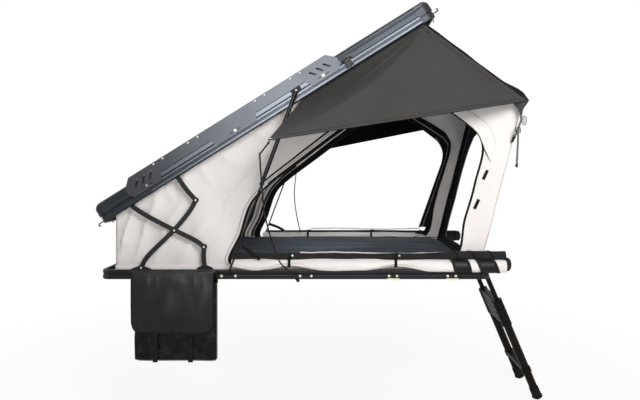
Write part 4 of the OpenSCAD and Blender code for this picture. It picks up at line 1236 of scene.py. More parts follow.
    def dress(self) -> None:
        """Make the wrapped bands, ties, toggles and the white fold behind the screen."""
        tag = self.side.tag
        for name, body, start, width, slant in self.bands:
            band = self.wrap(Shape(self.side), self.canvas, start, width, slant, 2.0)
            edge = Shape(self.side)
            for inset in (-2, width - 14):
                self.wrap(edge, self.canvas, start + inset, 16, slant, 3.4)
            settle = fold_front if body == "spreaders" else self.flat
            for part in (band.piece(f"roll_band_{name}_{tag}", VINYL, body, thick=1.4),
                         edge.piece(f"roll_band_edges_{name}_{tag}", SCREEN, body, thick=1.2)):
                settle(part)
        seams = Shape(self.side)
        for start, slant in self.seams:
            self.wrap(seams, self.net, start, 11, slant, 1.6)
        self.flat(seams.piece(f"screen_seams_{tag}", TAPE, "base", thick=1.4), 100, -610)
        start, slant = self.front_seam
        last = self.wrap(Shape(self.side), self.net, start, 11, slant, 1.6)
        fold_front(last.piece(f"screen_seam_front_{tag}", TAPE, "spreaders", thick=1.4))
        straps, knobs = Shape(self.side), Shape(self.side)
        for tie in self.ties:
            centre, r = self.canvas(tie)
            net, thin = self.net(tie)
            straps.strap([centre + spoke(a) * (r + 4.5) for a in turns(28, True)], AHEAD, 15, 2.2)
            ways = [spoke(math.radians(60 + 12 * k)) + AHEAD * 4 for k in range(18)]
            straps.strap([net + way * (thin + 2.5) - AHEAD * (4 * (thin + 1.5)) for way in ways], AHEAD, 13, 2.0)
            knobs.turned(net + Vector((18, -thin - 1, 6)), OUTWARD,
                         ((-2, 4), (2, 4), (2.5, 7), (6, 7.5), (8, 5.5), (8.5, 2)), 16)
        straps.strap(through(self.lash, 8), Vector((0.5, 0, 0.9)), 19, 3.0)
        fold = [Vector((x, -609, 134 + 4 * math.sin(x / 120) + crumple(xz(x, 0), 60, 3.0))) for x in range(20, 862, 12)]
        for part, z in ((straps.piece(f"roll_ties_{tag}", TAPE, "base"), 70),
                        (knobs.piece(f"roll_toggles_{tag}", ZINC, "base"), 100),
                        (Shape(self.side).tube(fold, 4.0, 8).piece(f"sill_fold_{tag}", CANVAS, "base"), 100)):
            self.flat(part, z)


@dataclass
class Awning:
    """Side awning from the lid's edge to its free corner and the front spreader.

    Args:
        side: Long side that it is on.
        y: Place of its seam across on the near side.
        rear_seam: Rear end of the seam under the lid.
        front_seam: Front end of the seam.
        corner: Free corner on the pole's tip.
        front: Corner on the spreader.
        sag: Depth of its slack.
        fold: Share of the sharp fold that the pull from corner to corner makes in an even sheet.
        cells: Cells of the sheet along the seam and away from it.
    """

    side: Side
    y: float = -662.0
    rear_seam: tuple[float, float] = (35.79, 975.09)
    front_seam: tuple[float, float] = (699.0, 1389.5)
    corner: tuple[float, float, float] = (-75.0, -1270.0, 727.0)
    front: tuple[float, float, float] = (1263.57, -653.0, 970.70)
    sag: float = 12.0
    fold: float = 0.55
    cells: tuple[int, int] = (96, 54)

    def spot(self, s: float, t: float, lift: float = 0.0) -> Vector:
        """Find a point on the sheet, with its sag and the folds that run from its corners.

        Args:
            s: Share of the way along the seam.
            t: Share of the way from the seam to the free edge.
            lift: Distance out of the cloth.

        Returns:
            The point.
        """
        rear, top = xz(*self.rear_seam, self.y), xz(*self.front_seam, self.y)
        corner, front = Vector(self.corner), Vector(self.front)
        even = mix(mix(rear, top, s), mix(corner, front, s), t)
        over = s + t - 1
        tight = front * over + top * (1 - t) + corner * (1 - s) if over > 0 else rear * -over + top * s + corner * t
        p = mix(even, tight, self.fold * smooth(over, -0.9, -0.01) if over < 0 else self.fold)
        belly = math.sin(math.pi * t) * math.sin(math.pi * s)
        drop = self.sag * belly + crumple(Vector((s * 9, t * 2.2, 0)), 1.0, 9.0, 4.0) * belly
        turn = math.atan2(t, 1.0001 - s)
        rays = 20 * max(0.0, math.sin(17 * turn)) ** 3 * math.exp(-1.6 * math.hypot(1 - s, t)) * min(1.0, 5 * t)
        fan = math.atan2(1.0001 - t, s)
        near = math.exp(-3 * math.hypot(s, 1 - t)) * min(1.0, 6 * t) * min(1.0, 9 * s)
        rays += 12 * max(0.0, math.sin(15 * fan)) ** 3 * near
        return p - Vector((-0.1 * lift, rays * min(1.0, 12 * (1 - t)) + 0.7 * lift, drop - 0.7 * lift))

    def build(self) -> None:
        """Make the sheet, its hems, corner patch and ring."""
        tag, body = self.side.tag, f"awning_{self.side.tag}"
        wide, deep = self.cells
        along, away = [i / wide for i in range(wide + 1)], [j / deep for j in range(deep + 1)]
        layers = []
        # The second layer, a near-black sheet under the cloth, is painted shade of the awning's underside
        for name, finish, lift, thick, held in (
                ("sheet", AWNING_CLOTH, 0.0, FLY_CLOTH, [f"lid_rail_{tag}", f"pole_{tag}"]),
                ("lining", UNDERSIDE_SHADE, -3.0, 0.8, [f"awning_sheet_{tag}"])):
            cloth = Shape(self.side).grid([[self.spot(s, t, lift) for s in along] for t in away])
            layers.append(cloth.piece(f"awning_{name}_{tag}", finish, body, thick=thick))
            if name == "sheet":
                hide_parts(f"awning_{tag}")
        bead = Shape(self.side).tube([self.spot(i / 64, 0.0) - Vector((0, 5, 2)) for i in range(65)], 4.5, 10)
        bead.tube([self.spot(0.996, t, 3.0) for t in away[:52]],
                  lambda t: 5.5 - 3.0 * t + 1.5 * math.sin(19 * t), 10)
        hems, patch = Shape(self.side), Shape(self.side)
        hems.grid([[self.spot(s, t, 1.6) for s in along] for t in (0.965, 0.985, 1.0)])
        for shares in ((0.0, 0.012, 0.026), (0.965, 0.985, 1.0)):
            hems.grid([[self.spot(s, t, 1.6) for t in away] for s in shares])
        patch.grid([[self.spot(0.1 * i / 8 * (1 - j / 8), 1 - 0.12 * j / 8, 2.0) for i in range(9)] for j in range(9)])
        eye = self.spot(0.008, 0.988, 2.0)
        ring = [eye + Vector((9 * math.cos(a), 9 * math.sin(a), 0)) for a in turns(20, True)]
        parts = layers + [
            bead.piece(f"awning_bead_{tag}", TAPE, body),
            hems.piece(f"awning_hems_{tag}", AWNING_CLOTH, body, thick=1.6),
            patch.piece(f"awning_patch_{tag}", AWNING_CLOTH, body, thick=FLY_CLOTH),
            Shape(self.side).tube(ring, 2.2, 8).piece(f"awning_eye_{tag}", ZINC, body)]
        for part in parts:
            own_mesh(part)


@dataclass
class FrontFly:
    """Front fly over the two spreader arms, with its hems and corners.

    Args:
        half: Half of its width.
        start: Where it begins along the fly's plane.
        length: Where its front edge lies along the plane.
        out: Height above the plane.
        cells: Cells of the sheet across and from the lid to the front edge.
    """

    half: float = 631.0
    start: float = 40.0
    length: float = 731.0
    out: float = 8.3
    cells: tuple[int, int] = (80, 30)

    def spot(self, y: float, t: float, lift: float = 0.0) -> Vector:
        """Find a point on the fly, with its belly, roughness and hooded front edge.

        Args:
            y: Place across.
            t: Share of the way from the lid to the front edge.
            lift: Distance out of the cloth.

        Returns:
            The point.
        """
        share = y / self.half
        belly = math.sin(math.pi * t) * math.cos(math.pi / 2 * share) ** 2
        rough = crumple(Vector((y / 110, t * 7, 0)), 1.0, 3.0, 6.0) * math.sin(math.pi * t)
        hood = 15 * smooth(t, 0.74, 0.9) * (1 - smooth(t, 0.93, 1.0))
        out = self.out + 9 * belly + abs(rough) + 1.5 + lift + hood
        return FLY.at(self.start + (self.length - self.start) * t, y, out)

    def build(self) -> None:
        """Make the fly, its hems and both front corners."""
        wide, deep = self.cells
        across, away = [self.half * (2 * i / wide - 1) for i in range(wide + 1)], [j / deep for j in range(deep + 1)]
        rows = [[self.spot(y, t) for y in across] for t in away]
        sheet = Shape().grid(rows).piece("fly_sheet", AWNING_CLOTH, "spreaders", thick=FLY_CLOTH)
        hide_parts("front_fly")
        hem = Shape()
        for t0, t1 in ((0.965, 1.0), (0.0, 0.03)):
            hem.grid([[self.spot(y, t0 + (t1 - t0) * k / 2, 1.2) for y in across] for k in range(3)])
        for y0 in (-self.half, self.half - 22):
            hem.grid([[self.spot(y0 + 11 * k, t, 1.2) for t in away] for k in range(3)])
        fold_front(sheet, -18.0, 0.02)
        fold_front(hem.piece("fly_hems", TAPE, "spreaders", thick=1.6), -18.0, 0.02)
        for side in Side:
            FlyCorner(side).build()


@dataclass
class FlyCorner:
    """Gusset, tension strap, buckle and clear tag at one front corner of the fly.

    Args:
        side: Long side that it is on.
        edges: Rear and front edge of the gusset.
        fullness: Bulge of the gusset at its top.
        pull: Points of the strap's tight part.
        tail: Points of its hanging end.
        slant: Way across the tight part.
        buckle: Rear, front, lower and upper edge of the buckle.
        bars: Heights of the buckle's bars.
        buckle_y: Place of the buckle across.
        middle: Middle of the tag.
        half: Half of the tag's width and of its height.
        sides: Points round the tag.
    """

    side: Side
    edges: tuple[Points, Points] = (
        ((1168, -650, 972), (1198, -650, 946), (1217, -649, 919), (1225, -648, 888)),
        ((1274, -650, 976), (1263, -652, 957), (1242, -651, 927), (1234, -648, 890)))
    fullness: float = 9.0
    pull: Points = ((1229, -648, 900), (1229, -649, 864), (1217, -650, 832), (1209, -650, 804), (1203, -638, 786),
                    (1192, -606, 748))
    tail: Points = ((1212, -653, 806), (1211, -655, 770), (1208, -656, 706), (1203, -655, 608))
    slant: tuple[float, float, float] = (1.0, 0.0, 0.2)
    buckle: tuple[float, float, float, float] = (1200.0, 1224.0, 797.0, 825.0)
    bars: tuple[float, ...] = (799.0, 811.0, 823.0)
    buckle_y: float = -652.0
    middle: tuple[float, float, float] = (1247.0, -650.0, 864.0)
    half: tuple[float, float] = (13.0, 26.0)
    sides: int = 28

    def build(self) -> None:
        """Make the corner's pieces."""
        tag, gusset = self.side.tag, self.gusset()
        pull, tail, slant = through(self.pull, 8), through(self.tail, 8), Vector(self.slant)
        strap = Shape(self.side).strap(pull, slant, 12, 1.8).strap(tail, AHEAD, 11, 1.6)
        web = strap.piece(f"corner_strap_{tag}", WEBBING, "spreaders")
        dark = Shape(self.side).strap(tail[-3:], AHEAD, 12.5, 2.8).strap(pull[-7:], slant, 15, 4.0)
        lock = self.lock().piece(f"corner_buckle_{tag}", NYLON, "spreaders")
        oval = self.oval()
        card = Shape(self.side).plate(oval, OUTWARD).piece(f"corner_tag_{tag}", TAG, "spreaders")
        for part in (gusset, web, dark.piece(f"corner_strap_ends_{tag}", TAPE, "spreaders"), lock, card,
                     self.net(oval).piece(f"corner_tag_net_{tag}", WEBBING, "spreaders")):
            fold_front(part)

    def gusset(self) -> bpy.types.Object:
        """Make the small sheet that closes the corner.

        Returns:
            The gusset.
        """
        rear, front = (through(line, 6) for line in self.edges)
        rows = []
        for j, (a, b) in enumerate(zip(rear, front)):
            bulge = self.fullness * (1 - j / (len(rear) - 1))
            rows.append([mix(a, b, i / 10) - Vector((0, bulge * math.sin(math.pi * i / 10), 0)) for i in range(11)])
        made = Shape(self.side).grid(rows).piece(f"fly_gusset_{self.side.tag}", AWNING_CLOTH, "spreaders", thick=1.6)
        return made

    def lock(self) -> Shape:
        """Make the ladder-lock buckle of three bars in a frame.

        Returns:
            The shape.
        """
        rear, front, low, high = self.buckle
        bars = [((rear, z), (front, z)) for z in self.bars] + [((x, low), (x, high)) for x in (rear, front)]
        made = Shape(self.side)
        for a, b in bars:
            made.tube([xz(*a, self.buckle_y), xz(*b, self.buckle_y)], 2.6, 8)
        return made

    def oval(self) -> Route:
        """Outline of the tag."""
        (x, y, z), (wide, tall) = self.middle, self.half
        return [Vector((x + wide * math.cos(a), y, z + tall * math.sin(a))) for a in turns(self.sides)]

    def net(self, oval: Route) -> Shape:
        """Make the tag's bound edge and the crossed threads over it.

        Args:
            oval: Outline of the tag.

        Returns:
            The shape.
        """
        made = Shape(self.side).tube(oval + oval[:1], 1.8, 6)
        for k in (3, 6, 9, 12):
            made.tube([oval[k], oval[(k + 11) % self.sides]], 1.1, 6)
            made.tube([oval[14 - k], oval[(31 - k) % self.sides]], 1.1, 6)
        return made


@dataclass
class Poles:
    """Sprung awning poles with their sleeves and tips.

    Args:
        radius: Radius of the rod.
        foot: Lower end of the near rod.
        tip: Its upper end.
        bends: Points between the ends, seen from the foot.
    """

    radius: float = 3.5
    foot: tuple[float, float, float] = (13.0, -682.0, -8.0)
    tip: tuple[float, float, float] = (-71.0, -1256.0, 721.5)
    bends: Points = (
        (-43, -43, 63), (-96, -98, 136), (-144, -238, 360), (-145, -358, 511), (-137, -496, 664),
        (-134, -510, 677), (-127, -522, 684))

    def build(self) -> None:
        """Make both poles."""
        foot = Vector(self.foot)
        route = curve([foot] + [foot + Vector(b) for b in self.bends] + [Vector(self.tip)], 14)
        for side in Side:
            tag = side.tag
            body = f"pole_{tag}"
            rod = Shape(side).tube(route, self.radius + 0.3, 12).piece(f"pole_rod_{tag}", NITRIDED, body)
            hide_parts(body)
            ends = Shape(side).tube(route[1:6], self.radius + 1.6, 12)
            ends.tube(route[-4:], lambda t: self.radius + 1.8 - 2.5 * t, 12)
            ends.piece(f"pole_ends_{tag}", NYLON, body)


@dataclass
class LiftLinkage:
    """Rivets of the lift linkage and its coats.

    Args:
        rivets: Name, body, place along, height, place across and thickness of each rivet.
    """

    rivets: tuple[tuple[str, str, float, float, float, float], ...] = (
        ("foot_a", "base", -847.0, 58.0, -649.6, 3.0), ("cross", "arms_a", -667.30, 262.19, -644.2, 3.2),
        ("top_a", "links_a", -549.27, 428.58, -649.6, 2.0), ("end_b", "arms_b", -506.16, 171.31, -638.8, 3.0),
        ("lid_a", "links_a", -677.14, 598.34, -649.6, 2.0), ("lid_b", "arms_b", -938.98, 434.73, -638.8, 2.4))

    def build(self) -> None:
        """Coat the arms and set a domed rivet at each pivot."""
        for name in ("arm_a", "arm_b", "link_a", "link_b"):
            coat(BLACK_STEEL, f"{name}_near", f"{name}_far")
        coat(BLACK_STEEL, "linkage_feet", "linkage_lid_brackets")
        for side in Side:
            for name, body, x, z, y, high in self.rivets:
                dome = Shape(side).turned(Vector((x, y, z)), OUTWARD,
                                          ((-0.5, 5.6), (0.4, 5.6), (high * 0.6, 4.8), (high, 2.4)), 18)
                dome.piece(f"rivet_{name}_{side.tag}", IVORY, body)


@dataclass
class BaseTray:
    """Base frame, floor and the bolts of its side brackets.

    Args:
        bolts: Places of the bolts along the base.
        tabs: Places of the brackets' lower tabs.
        face: Place of the brackets' faces across.
        height: Height of the bolts.
        tab: Outline of a tab.
    """

    bolts: tuple[float, ...] = (-402.0, -326.0, 24.0, 85.0, 506.0, 549.0, 824.0, 868.0)
    tabs: tuple[float, float] = (530.0, 850.0)
    face: float = -674.0
    height: float = 19.0
    tab: Outline = (
        (-33, -5), (33, -5), (35, -3), (35, 4), (33, 6), (-33, 6), (-35, 4), (-35, -3))

    def build(self) -> None:
        """Coat the base and set its bolts and tabs."""
        coat(BASE_COAT, "base_rail_near", "base_rail_far", "base_end_rails")
        coat(CORNER_PLASTIC, "base_corners")
        coat(MILL_ALUMINIUM, "floor_panel", "mounting_channels")
        coat(BLACK_STEEL, "strut_feet", "pole_sockets", "side_brackets", "ladder_hinge")
        for side in Side:
            heads = Shape(side)
            for x in self.bolts:
                base = Vector((x, self.face, self.height))
                heads.turned(base, OUTWARD, ((-0.5, 7.0), (1.0, 7.0), (1.4, 5.6)), 18)
                heads.turned(base, OUTWARD, ((1.0, 5.4), (4.0, 5.2), (4.8, 4.0)), 6)
            heads.piece(f"base_bolts_{side.tag}", IVORY, "base", sharp=30)
            tabs = Shape(side)
            for x in self.tabs:
                tabs.plate([Vector((x + a, self.face - 0.6, b)) for a, b in self.tab], Vector((0, 2.4, 0)))
            tabs.piece(f"bracket_tabs_{side.tag}", IVORY, "base", bevel=0.6)


@dataclass
class LidShell:
    """Lid frame with its ribbed flange strip, rack plates and latches.

    Args:
        length: Length of the lid.
        face: Place of the near rail's face across.
        teeth: Lower and upper edge of the toothed strip.
        pitch: Distance between two teeth.
        ridge_start: Where the raised ribs begin.
        lines: Height, depth behind the face and radius of the dark lines, painted shade of the rail's grooves and lower
            edge.
        ridges: Lower and upper edge, depth behind the face and end of the raised ribs, coloured lighter as a painted
            highlight.
        hook: Outline of an end hook.
        bail: Rear, front, lower and upper edge of the wire on a latch's lever.
        catch: The same of the wire frame above it.
    """

    length: float = 2148.0
    face: float = -675.0
    teeth: tuple[float, float] = (17.5, 28.5)
    pitch: float = 9.0
    ridge_start: float = 330.0
    lines: Points = (
        (3.0, 4.4, 2.4), (44.5, 0.4, 2.0), (72.5, 0.4, 1.7), (94.0, 7.5, 2.4))
    ridges: tuple[tuple[float, float, float, float], ...] = (
        (7.0, 16.0, 2.6, 2058.0), (31.0, 40.0, 0.8, 2058.0), (49.0, 67.0, -0.5, 1475.0))
    hook: Outline = ((-12, 0), (6, 0), (14, 0), (21, 1), (25, 6), (23, 12), (16, 13))
    bail: tuple[float, float, float, float] = (1592, 1617, 29, 46)
    catch: tuple[float, float, float, float] = (1610, 1632, 62, 69)

    def build(self) -> None:
        """Coat the lid and add the trim of its sides."""
        coat(LID_COAT, "lid_rail_near", "lid_rail_far", "lid_end_rails", "roof_panel")
        coat(CORNER_PLASTIC, "lid_corners")
        coat(RACK_COAT, "rack_plate_near", "rack_plate_far")
        coat(ZINC, "rack_bolts")
        coat(NYLON, "latch_plates", "latch_lever_near", "latch_lever_far")
        coat(BLACK_STEEL, "strut_studs", "spreader_near", "spreader_far")
        coat(DARK_WIRE, "end_hooks")
        for side in Side:
            self.strips(side)
            self.hooks(side)
            self.bails(side)

    def hooks(self, side: Side) -> None:
        """Make the bent wire hook at both ends of the flange.

        Args:
            side: Long side that they are on.
        """
        wires = Shape(side)
        for end, out in ((0.0, -1), (self.length, 1)):
            level = 20 - 4 * (1 - out)
            hook = [LID.at(end + out * u, self.face + 32, level + out * n) for u, n in self.hook]
            wires.tube(curve(hook, 5), 3.4, 10)
        wires.piece(f"corner_hooks_{side.tag}", BLACK_STEEL, "lid")

    def bails(self, side: Side) -> None:
        """Make the wire bail on one latch's lever and the catch frame on the plate above it.

        Args:
            side: Long side that they are on.
        """
        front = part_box(f"latch_lever_{side.tag}")[0 if side is Side.NEAR else 1].y / MM * side.value
        for name, body, y, (u0, u1, n0, n1) in (
                ("latch_bail", f"latch_{side.tag}", front + 0.2, self.bail),
                ("latch_catch", "lid", self.face - 4.2, self.catch)):
            wires = Shape(side)
            corners = [LID.at(u, y, n) for u, n in ((u0, n0), (u1, n0), (u1, n1), (u0, n1), (u0, n0))]
            for a, b in zip(corners, corners[1:]):
                wires.tube([a, b], 1.8, 8)
            wires.piece(f"{name}_{side.tag}", ROD_STEEL, body)

    def strips(self, side: Side) -> None:
        """Make the toothed strip in the flange's recess, the dark lines (painted shade of the grooves) and the lighter
        raised ribs (painted highlight) of one rail.

        Args:
            side: Long side that they are on.
        """
        teeth = Shape(side)
        low, high = self.teeth
        for k in range(int((self.length - 150) / self.pitch)):
            u = 75 + k * self.pitch
            teeth.plate([LID.at(u + a, self.face + 3.5, b) for a, b in ((0, low), (4.5, low), (4.5, high), (0, high))],
                        Vector((0, 5, 0)))
        teeth.piece(f"lid_teeth_{side.tag}", LID_COAT, "lid", sharp=30)
        start, end = 90.0, self.length - 90.0
        beads, ridges = Shape(side), Shape(side)
        for n, inward, radius in self.lines:
            beads.tube([LID.at(u, self.face + inward, n) for u in (start, end)], radius, 10)
        for low, high, inward, stop in self.ridges:
            ridges.plate([LID.at(u, self.face + inward, n) for u, n in (
                (self.ridge_start, low), (stop, low), (stop, high), (self.ridge_start, high))], Vector((0, 4, 0)))
        # Black tubes along the grooves and the lower edge: painted shade
        beads.piece(f"lid_lines_{side.tag}", TAPE, "lid")
        # The raised ribs take the lighter copy of the lid's coat: painted highlight
        ridges.piece(f"lid_ridges_{side.tag}", RIB_PAINTED_HIGHLIGHT, "lid", sharp=30)


@dataclass
class GasStruts:
    """Gas struts: nitrided rod, enamelled tube, wiper ring.

    Args:
        y: Place of the strut's middle across.
        ring: Place of the wiper ring along the strut.
        length: Length of the open strut between its studs.
        wiper: Distance and radius along the wiper ring.
        nut: Distance and radius along the stud's nut.
    """

    y: float = -694.0
    ring: float = 525.0
    length: float = 1065.0
    wiper: Outline = ((0, 6.4), (1, 9), (5, 10.6), (6, 12), (15, 12), (16, 11))
    nut: Outline = ((0, 7.0), (4, 7.0), (5, 5.5), (7, 4.6), (8, 2.5))

    def build(self) -> None:
        """Coat the struts and add the wiper ring at each tube's end and the nut on each upper stud."""
        coat(NITRIDED, "strut_rod_near", "strut_rod_far")
        coat(STRUT_COAT, "strut_tube_near", "strut_tube_far")
        for side in Side:
            wiper = Shape(side).turned(STRUT.at(self.ring - 6, self.y), STRUT.way(1, 0), self.wiper, 20)
            wiper.piece(f"strut_wiper_{side.tag}", RUBBER, "strut_tubes")
            nut = Shape(side).turned(STRUT.at(self.length, self.y - 9), OUTWARD, self.nut, 6)
            nut.piece(f"strut_nut_{side.tag}", ZINC, "lid")


@dataclass
class ShoeBag:
    """Shoe bag: printed pouch, vinyl flap with a gathered top, and two strap tails.

    Args:
        rear: Place of its rear edge.
        width: Width of the bag.
        flap_width: Width of the flap.
        offset: What the pouch is narrower than the bag at its rear.
        back: Place of its back across.
        front: Place of its front across.
        top: Height of the flap's upper edge.
        mouth: Height of the pouch's upper edge.
        drop: Height of the pouch's lower edge.
        flap_low: Height of the flap's lower edge.
        flap_round: Radius of the flap's lower corners.
        straps: Places of the straps from the rear edge.
        tail: Points of a strap's end, from its place and the bag's front.
        buckle: Outline of a buckle.
        buckle_z: Height of the buckles.
        levels: Cells of the pouch from bottom to top.
        cells: Cells of the flap across and down.
    """

    rear: float = -873.0
    width: float = 452.0
    flap_width: float = 438.0
    offset: float = 12.0
    back: float = -670.3
    front: float = -719.3
    top: float = 49.0
    mouth: float = -12.0
    drop: float = -434.0
    flap_low: float = -273.0
    flap_round: float = 50.0
    straps: tuple[float, float] = (128.0, 316.0)
    tail: Points = ((0, -6, -258), (0, -11, -290), (2, -11, -360), (1, -9, -430))
    buckle: Outline = ((-17, -5), (17, -5), (17, 5), (14, 8), (-14, 8), (-17, 5))
    buckle_z: float = -279.0
    levels: int = 34
    cells: tuple[int, int] = (60, 44)

    def build(self) -> None:
        """Make the pouch, its hanger band, the flap and straps."""
        rows = []
        for j in range(self.levels + 1):
            t = j / self.levels
            z = self.drop + (self.mouth - self.drop) * t
            foot = max(0.0, 1 - (z - self.drop) / 14)
            inset = 10 * (1 - math.sqrt(max(0.0, 1 - foot * foot)))
            rows.append(self.ring(inset, 5 * math.sin(math.pi * min(1, t * 1.05)), z, foot))
        pouch = Shape().grid(rows, ring=True, ends=True).piece("bag_pouch", CAMO, "bag")
        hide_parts("bag_body")
        hanger = [[Vector((self.rear + self.width * i / 40, self.back - 1.5 + y, z)) for i in range(41)]
                  for y, z in ((0, self.mouth - 6), (0, 20), (-2, self.top - 4), (-24, self.top - 1.5),
                               (self.front - self.back + 2, self.top - 2))]
        band = Shape().grid(hanger).piece("bag_hanger", VINYL, "bag", thick=2.6)
        wide, deep = self.cells
        across, down = [i / wide for i in range(wide + 1)], [j / deep for j in range(deep + 1)]
        flap = Shape().grid([[self.flap_spot(s, t) for s in across] for t in down])
        cover = flap.piece("bag_cover", VINYL, "bag_flap", thick=3.0)
        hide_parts("bag_flap")
        rim = [self.flap_spot(0.0, t) for t in down] + [self.flap_spot(s, 1.0) for s in across[1:]]
        rim += [self.flap_spot(1.0, t) for t in down[-2::-1]]
        Shape().tube(rim, 2.6, 8).piece("bag_cover_binding", TAPE, "bag_flap")
        tails, locks = Shape(), Shape()
        for dx in self.straps:
            x = self.rear + dx
            tails.strap(curve([Vector((x + a, self.front + b, c)) for a, b, c in self.tail], 6), AHEAD, 26, 1.8)
            locks.plate([Vector((x + a, self.front - 8, self.buckle_z + b)) for a, b in self.buckle], OUTWARD * 7)
        tails.piece("bag_straps", TAPE, "bag_flap")
        locks.piece("bag_buckles", NYLON, "bag_flap", bevel=1.5)

    def ring(self, inset: float, swell: float, z: float, foot: float) -> Route:
        """Draw the pouch's outline at one height, flat at the back and full in front.

        Args:
            inset: What it is narrower at each end.
            swell: What it is fuller in front.
            z: The height.
            foot: Share of the rounding at the bottom.

        Returns:
            The outline.
        """
        line = []
        half = (self.width - self.offset) / 2 - inset
        deep = (self.back - self.front) * (1 - 0.5 * foot)
        for a in turns(72):
            c, s = math.cos(a), math.sin(a)
            x = half * math.copysign(abs(c) ** 0.22, c)
            y = deep / 2 * math.copysign(abs(s) ** 0.3, s)
            p = Vector((self.rear + (self.width + self.offset) / 2 + x, self.back - deep / 2 - y, z))
            if s > 0:
                bulge = crumple(Vector((p.x, 0, z * 0.7)), 60, 5.0, 8.0) - 2.0
                p.y -= min(0.0, bulge) if z > self.flap_low - 20 else bulge + swell * 0.6
            line.append(p)
        return line

    def flap_spot(self, s: float, t: float) -> Vector:
        """Find a point on the flap, with its gathers, creases and fullness.

        Args:
            s: Share of the way across.
            t: Share of the way down.

        Returns:
            The point.
        """
        x = self.rear + self.flap_width * s
        side = min(s, 1 - s) * self.flap_width
        r = self.flap_round
        lift = r - math.sqrt(max(0.0, r * r - (r - side) ** 2)) if side < r else 0.0
        z = self.top + (self.flap_low + lift - self.top) * t
        gather = 2 * max(0.0, math.sin(x / 13 + 2.4 * math.sin(x / 41))) * math.exp(-((t - 0.17) / 0.09) ** 2)
        rough = (7 + crumple(Vector((x, 0, z * 0.55)), 110, 21.0, 2.0)) * min(1.0, 3 * t) * smooth(side, 0, 70)
        full = 16 * math.sin(math.pi * t) * min(1.0, 0.3 + side / 110)
        return Vector((x, self.front - 2.3 - max(0.0, rough) - gather - full, z))


@dataclass
class TelescopicLadder:
    """Coats of the ladder and the lock sliders on its collars.

    Args:
        tops: Places of the collars along the ladder.
        rail: Distance of each rail from the middle.
        radius: Radius of a collar.
        face: Distance of a slider's foot from the ladder's plane.
        slider: Outline of a slider.
        rib: Outline of a rib on it.
    """

    tops: tuple[float, ...] = (278.0, 313.4, 348.8, 384.2, 419.6)
    rail: float = 173.0
    radius: float = 30.5
    face: float = 23.0
    slider: Outline = ((10, -13), (26, -13), (28, -9), (28, 9), (26, 13), (10, 13), (8, 9), (8, -9))
    rib: Outline = ((12, -1), (24, -1), (24, 1), (12, 1))

    def build(self) -> None:
        """Coat the sections and add ribbed lock sliders on each collar."""
        coat(LADDER_TUBE, *(f"ladder_section_{k}" for k in range(1, 7)))
        coat(RUBBER, "ladder_feet")
        for k, top in enumerate(self.tops):
            locks = Shape()
            for y in (-self.rail, self.rail):
                inner = y - math.copysign(self.radius + 7, y)
                for out in (-1, 1):
                    face = self.face * out
                    locks.plate([LADDER.at(top + a, inner + b, face) for a, b in self.slider],
                                LADDER.way(0, 3.0 * out))
                    for aside in (-5, 0, 5):
                        locks.plate([LADDER.at(top + a, inner + aside + b, face + 3.0 * out) for a, b in self.rib],
                                    LADDER.way(0, 1.4 * out))
            locks.piece(f"ladder_locks_{k + 2}", LADDER_PLASTIC, f"ladder_{k + 2}", bevel=0.6)


@dataclass(frozen=True)
class Lamp:
    """Wide square lamp.

    Args:
        name: Name of the lamp.
        place: Its place.
        size: Length of its sides.
        power: Its power in watts.
        gloss_only: Light only what mirrors it.
    """

    name: str
    place: tuple[float, float, float]
    size: float
    power: float
    gloss_only: bool = False

    def build(self, aim: Vector) -> None:
        """Add the lamp to the scene.

        Args:
            aim: Point that it faces.
        """
        light = bpy.data.lights.new(self.name, "AREA")
        light.size, light.energy = self.size * MM, self.power
        lamp = bpy.data.objects.new(self.name, light)
        lamp.location = Vector(self.place) * MM
        lamp.rotation_euler = (aim - Vector(self.place)).to_track_quat("-Z", "Y").to_euler()
        lamp.visible_diffuse = not self.gloss_only
        bpy.context.scene.collection.objects.link(lamp)


